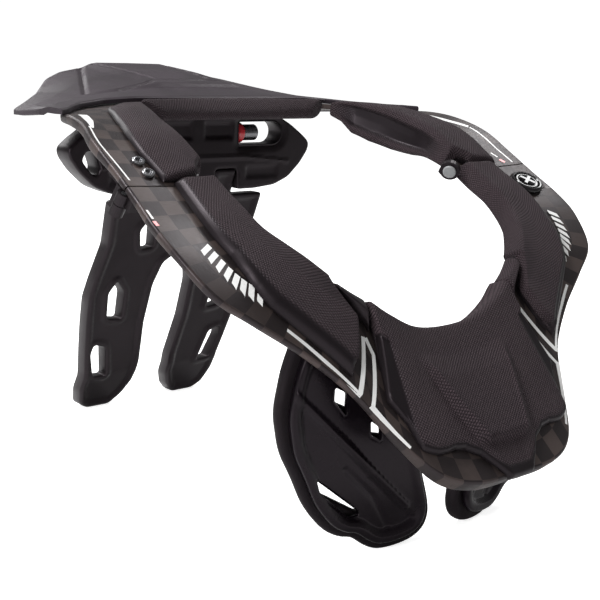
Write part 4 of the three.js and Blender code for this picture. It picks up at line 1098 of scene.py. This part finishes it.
CARRIER_MIDDLE = CARRIER_FRONT + CARRIER_DEPTH / 2
for label, side in (("left", -1), ("right", 1)):
    inner, gap, outer = ((side * x * MM, CARRIER_MIDDLE, SLOT_Z) for x in (31.4, 36.8, 47.8))
    collar_ring = lathe("pin_collar_%s_turned" % label, rod(6.3 * MM, 5 * MM, 0.8 * MM), spin_between(inner, gap))
    dress(collar_ring, red, "rear", "red", "pin_collar_" + label)
    pin = lathe("adjuster_pin_%s_turned" % label, rod(5 * MM, 11 * MM, 0.7 * MM, 2.4 * MM), spin_between(gap, outer))
    dress(pin, steel, "rear", "steel", "adjuster_pin_" + label)

bezel_profile = [(7.4 * MM, 0.9 * MM), (9.8 * MM, 0.9 * MM), (9.8 * MM, 1.6 * MM), (9.2 * MM, 2.6 * MM),
                 (8.4 * MM, 3.0 * MM), (7.8 * MM, 2.9 * MM), (7.4 * MM, 2.4 * MM)]
bezel = lathe("button_bezel_ring", bezel_profile, button_seat, 64, ring=True)
dress(bezel, polished, "front", "gloss", "button_bezel")
cap = [(0, -4.5 * MM), (6.4 * MM, -4.5 * MM), (6.8 * MM, -4.1 * MM), (6.8 * MM, 2.2 * MM), (6.4 * MM, 2.7 * MM),
       (5.6 * MM, 2.8 * MM), (5.0 * MM, 2.5 * MM), (2.5 * MM, 2.3 * MM), (0, 2.2 * MM)]
button = lathe("release_button_cap", cap, button_seat, 64)
dress(button, polished, "button", "plastic", "release_button")

# %% A raised cross on the button, to find it by touch


def cross_shape(reach, half, low, high, slope):
    """A plus sign with sloping walls, as a bottom outline and a smaller top one."""
    def outline_at(r, h, z):
        return [(h, -r, z), (h, -h, z), (r, -h, z), (r, h, z), (h, h, z), (h, r, z), (-h, r, z), (-h, h, z),
                (-r, h, z), (-r, -h, z), (-h, -h, z), (-h, -r, z)]
    points = outline_at(reach, half, low) + outline_at(reach - slope, half - slope, high)
    faces = [list(range(11, -1, -1)), list(range(12, 24))]
    faces += [(k, (k + 1) % 12, 12 + (k + 1) % 12, 12 + k) for k in range(12)]
    return finish_mesh("button_cross", points, faces, sharp=20)


cross = cross_shape(5.0 * MM, 1.4 * MM, 2.1 * MM, 3.5 * MM, 0.5 * MM)
cross.data.transform(button_seat @ Matrix.Rotation(math.radians(38), 4, "Z"))
dress(cross, polished, "button", "plastic")

LATCH_EYE = (-6.8 * MM, 1.5 * MM, 0.3 * MM)
eye_turn = seat_matrix(SEAM, 0.0) @ Matrix.Translation(LATCH_EYE)
eye_turn = eye_turn @ Matrix.Rotation(-math.pi / 4, 4, "Z") @ Matrix.Rotation(math.pi / 2, 4, "X")
head = lathe("latch_pin_turned", [(0, 1.9 * MM), (3.3 * MM, 1.9 * MM), (3.7 * MM, 2.2 * MM), (3.7 * MM, 2.7 * MM),
                                  (3.2 * MM, 3.1 * MM), (0, 3.1 * MM)], eye_turn)
dress(head, grey, "rear", "grey", "latch_pin")

# %% [markdown]
# ## Screws and printed marks, set out by geometry nodes
# Two ring-headed screws hold the hinge, and rows of slanted bars stand where the real brace
# is lettered. All of them are one small shape repeated on points of the collar, so a single
# tree does the work: it turns each copy to the surface and makes them real at the end.

# %% A tree that seats a shape on points
seat_tree = bpy.data.node_groups.new("Seat on points", "GeometryNodeTree")
for label, kind, way in (("Geometry", "NodeSocketGeometry", "INPUT"), ("Shape", "NodeSocketObject", "INPUT"),
                         ("Scale", "NodeSocketFloat", "INPUT"), ("Turn", "NodeSocketFloat", "INPUT"),
                         ("Material", "NodeSocketMaterial", "INPUT"), ("Geometry", "NodeSocketGeometry", "OUTPUT")):
    seat_tree.interface.new_socket(label, in_out=way, socket_type=kind)
given, result = seat_tree.nodes.new("NodeGroupInput"), seat_tree.nodes.new("NodeGroupOutput")
facing = node(seat_tree, "GeometryNodeInputNamedAttribute", {"Name": "facing"}, data_type="FLOAT_VECTOR")
heading = node(seat_tree, "GeometryNodeInputNamedAttribute", {"Name": "heading"}, data_type="FLOAT_VECTOR")
stand = node(seat_tree, "FunctionNodeAlignRotationToVector", {"Vector": facing.outputs[0]}, axis="Z")
aim = node(seat_tree, "FunctionNodeAlignRotationToVector",
           {"Rotation": stand.outputs[0], "Vector": heading.outputs[0]}, axis="X", pivot_axis="Z")
spin = node(seat_tree, "FunctionNodeAxisAngleToRotation", {"Axis": (0, 0, 1), "Angle": given.outputs["Turn"]})
turned = node(seat_tree, "FunctionNodeRotateRotation", {"Rotation": aim.outputs[0], "Rotate By": spin.outputs[0]},
              rotation_space="LOCAL")
shape = node(seat_tree, "GeometryNodeObjectInfo", {"Object": given.outputs["Shape"]})
copies = node(seat_tree, "GeometryNodeInstanceOnPoints",
              {"Points": given.outputs["Geometry"], "Instance": shape.outputs["Geometry"],
               "Rotation": turned.outputs[0], "Scale": given.outputs["Scale"]})
real = node(seat_tree, "GeometryNodeRealizeInstances", {0: copies.outputs[0]})
coloured = node(seat_tree, "GeometryNodeSetMaterial",
                {"Geometry": real.outputs[0], "Material": given.outputs["Material"]})
seat_tree.links.new(coloured.outputs[0], result.inputs[0])


def seat_on(name, places, shape_object, material, rise=0.0, scale=1.0, turn=0.0):
    """Copies of a shape at (place, share) points of the collar, as one plain mesh."""
    places = np.array(places, float)
    points = collar(places[:, 0], places[:, 1], 0.0, rise)
    _, _, along_at, normal_at, _, _, _ = collar_frame(places[:, 0])
    mesh = bpy.data.meshes.new(name)
    mesh.from_pydata(points.tolist(), [], [])
    for key, values in (("facing", normal_at), ("heading", along_at)):
        mesh.attributes.new(key, "FLOAT_VECTOR", "POINT").data.foreach_set("vector", values.astype(np.float32).ravel())
    piece = bpy.data.objects.new(name, mesh)
    bpy.context.scene.collection.objects.link(piece)
    modifier = piece.modifiers.new("seat", "NODES")
    modifier.node_group = seat_tree
    values = {"Shape": shape_object, "Scale": scale, "Turn": turn, "Material": material}
    for item in seat_tree.interface.items_tree:
        if item.in_out == "INPUT" and item.name in values:
            modifier[item.identifier] = values[item.name]
    piece.update_tag()
    return plain(piece)


# %% Screws
screw_profile = [(0, 0), (2.9 * MM, 0), (3.1 * MM, 0.2 * MM), (3.1 * MM, 1.1 * MM), (2.7 * MM, 1.5 * MM),
                 (2.0 * MM, 1.5 * MM), (1.7 * MM, 1.3 * MM), (1.7 * MM, 0.5 * MM), (0, 0.4 * MM)]
screw_head = lathe("screw_shape", screw_profile, sides=36)
screws = seat_on("hinge_screws", [(-11.27, .67), (-10.85, .66)], screw_head, steel, rise=SEAT_GAP)
bpy.data.objects.remove(screw_head)
dress(screws, steel, "rear", "steel", "hinge_screw_outer", "hinge_screw_inner")

# %% Slanted bars in place of lettering


def bar_shape(length, width, lean, thick=0.12 * MM):
    x, y, s = width / 2, length / 2, lean * length / 2
    corners = [(-x - s, -y), (x - s, -y), (x + s, y), (-x + s, y)]
    points = [(a, b, z) for z in (0, thick) for a, b in corners]
    faces = [(3, 2, 1, 0), (4, 5, 6, 7), (0, 1, 5, 4), (1, 2, 6, 5), (2, 3, 7, 6), (3, 0, 4, 7)]
    return finish_mesh("bar_shape", points, faces, sharp=20)


for label, side in (("left", -1), ("right", 1)):
    bar = bar_shape(10.5 * MM, 2.9 * MM, 0.3 * side)
    row = [(side * place, .735 - .012 * (place - 6.2)) for place in np.linspace(6.25, 7.95, 8)]
    marks = seat_on("arm_marks_" + label, row, bar, white, rise=0.02 * MM)
    bpy.data.objects.remove(bar)
    dress(marks, white, "front", "grey")

# %% [markdown]
# ## Stripes
# The white stripes are printed under the lacquer. Each is a thin ribbon laid on the collar
# along a few placed points, because a ribbon follows the surface from every side and keeps
# a clean edge that a painted texture would blur.

# %% Ribbons on the collar


def ribbon(name, body, material, widths, path, rise=0.03 * MM, thick=0.1 * MM, samples=24):
    """A thin strip along (place, share) points, with its widths in mm from end to end."""
    path = np.array(path, float)
    spots = [a + (b - a) * np.linspace(0, 1, samples, endpoint=False)[:, None] for a, b in zip(path, path[1:])]
    place, share = np.vstack(spots + [path[-1:]]).T
    points = collar(place, share, 0.0, rise)
    normal = collar_frame(place)[3]
    side = unit(np.cross(normal, unit(np.gradient(points, axis=0))))

    def dot(a, b):
        return np.sum(a * b, axis=1)

    # How much place and share change over a metre sideways, from the surface's own two slopes.
    by_place = (collar(place + 0.01, share, 0.0, rise) - points) / 0.01
    by_share = (collar(place, share + 0.01, 0.0, rise) - points) / 0.01
    pp, ss, ps = dot(by_place, by_place), dot(by_share, by_share), dot(by_place, by_share)
    to_place, to_share = dot(side, by_place), dot(side, by_share)
    place_step = (to_place * ss - to_share * ps) / (pp * ss - ps * ps)
    share_step = (to_share * pp - to_place * ps) / (pp * ss - ps * ps)
    wide = np.interp(np.linspace(0, 1, len(points)), np.linspace(0, 1, len(widths)), np.array(widths) * MM)
    rows = []
    for shift in (part * wide for part in (-0.5, -0.25, 0, 0.25, 0.5)):
        rows.append(collar(place + shift * place_step, np.minimum(share + shift * share_step, 0.985), 0.0, rise))
    rings = np.stack(rows + [row + normal * thick for row in rows[::-1]], axis=1)
    return dress(loft(name, rings, sharp=20), material, body, "red" if material is red else "grey")


for stripe in (
    ("stripe_left_a", "front", white, [1.6, 2.5, 2], [(-5.49, .855), (-3.88, .956), (-3.42, .31)]),
    ("stripe_left_b", "front", white, [2], [(-3.31, .30), (-3.12, .40), (-3.58, .95)]),
    ("stripe_left_c", "front", white, [3, 1.4], [(-3.62, .945), (-3.2, .95), (-2.72, .965)]),
    ("stripe_right_a", "front", white, [1.6, 2.5, 2], [(5.49, .885), (3.88, .956), (3.42, .31)]),
    ("stripe_right_b", "front", white, [2], [(3.31, .30), (3.12, .40), (3.58, .95)]),
    ("stripe_right_c", "front", white, [3, 1.4], [(3.62, .945), (3.0, .95), (2.2, .95)]),
    ("stripe_rear_left", "rear", white, [4.4, 4.4, 1.5], [(-14.4, .80), (-13.5, .85), (-12.8, .905)]),
    ("stripe_rear_left_thin", "rear", white, [0.9], [(-12.9, .93), (-11.9, .935), (-10.66, .915)]),
    ("stripe_rear_right", "rear", white, [4, 2.5], [(13.84, .67), (12.9, .76), (12.36, .84)]),
    ("stripe_rear_right_thin", "rear", white, [1], [(12.3, .84), (11.26, .83), (10.57, .845)]),
    ("mark_white_left", "front", white, [1.2], [(-9.62, .955), (-9.3, .95)]),
    ("mark_red_left", "front", red, [2], [(-9.22, .955), (-9.05, .95)]),
    ("mark_white_right", "rear", white, [1], [(11.05, .68), (10.85, .71)]),
    ("mark_red_right", "rear", red, [2], [(10.74, .70), (10.6, .735)]),
):
    ribbon(*stripe)

# %% Materials of the CAD nodes that stay
for name, material in (("hinge_leaf_front", plastic), ("hinge_leaf_rear", plastic), ("hinge_pin", steel),
                       ("latch_tongue", plastic), ("latch_eye", plastic)):
    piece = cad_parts[name]
    piece.data.materials.clear()
    piece.data.materials.append(material)

# %% [markdown]
# ## Light and camera
# Catalogue light is broad and soft: four square panels, above, at the left, at the right and
# behind, in a white surround. The floor is a pale sheet that fades into the background.

# %% Stage, lights and camera
floor_mesh = bpy.data.meshes.new("floor")
floor_mesh.from_pydata([(-9, -9, 0), (9, -9, 0), (9, 9, 0), (-9, 9, 0)], [], [(0, 1, 2, 3)])
floor = bpy.data.objects.new("floor", floor_mesh)
bpy.context.scene.collection.objects.link(floor)
floor_look, tree, shader, where = new_material("floor", Roughness=0.9, Specular_IOR_Level=0.1)
shader.inputs["Base Color"].default_value = (0.85, 0.85, 0.85, 1)
shader.inputs["Emission Color"].default_value = (1, 1, 1, 1)
seen = node(tree, "ShaderNodeLightPath")
tree.links.new(ramp(tree, seen.outputs["Is Camera Ray"], 0.0, 1.0, 0.0, 0.78), shader.inputs["Emission Strength"])
floor.data.materials.append(floor_look)

world = bpy.data.worlds.new("surround")
bpy.context.scene.world = world
world.use_nodes = True
world.node_tree.nodes["Background"].inputs["Color"].default_value = (1, 1, 1, 1)
path = world.node_tree.nodes.new("ShaderNodeLightPath")
strength = node(world.node_tree, "ShaderNodeMapRange",
                {"Value": path.outputs["Is Camera Ray"], "To Min": 0.3, "To Max": 1.05})
world.node_tree.links.new(strength.outputs[0], world.node_tree.nodes["Background"].inputs["Strength"])

AIM, EYE = Vector((0, -0.01, 0.12)), Vector((-0.4056, -0.48033, 0.2352))
LIGHTS = [("overhead", (-0.75, 0.55, 1.5), 0.6, 30), ("left", (-1.5, -0.5, 0.7), 0.4, 15),
          ("right", (1.15, 0.3, 1.4), 0.5, 9), ("behind", (0.0, 1.5, 0.9), 0.7, 6)]
for name, spot, size, power in LIGHTS:
    light = bpy.data.lights.new(name, "AREA")
    light.shape, light.size, light.energy = "SQUARE", size, power
    lamp = bpy.data.objects.new(name, light)
    lamp.location = spot
    lamp.rotation_euler = (AIM - Vector(spot)).to_track_quat("-Z", "Y").to_euler()
    bpy.context.scene.collection.objects.link(lamp)

forward = Vector((0.63887, 0.73834, -0.21609)).normalized()
right = Vector((0.76109, -0.64756, 0.03754)).normalized()
up = right.cross(forward)
camera = bpy.data.cameras.new("camera")
camera.lens, camera.sensor_width = 69.0, 36.0
eye = bpy.data.objects.new("camera", camera)
eye.matrix_world = Matrix.Translation(EYE) @ Matrix((right, up, -forward)).transposed().to_4x4()
bpy.context.scene.collection.objects.link(eye)
bpy.context.scene.camera = eye
bpy.context.scene.view_settings.view_transform = "Standard"
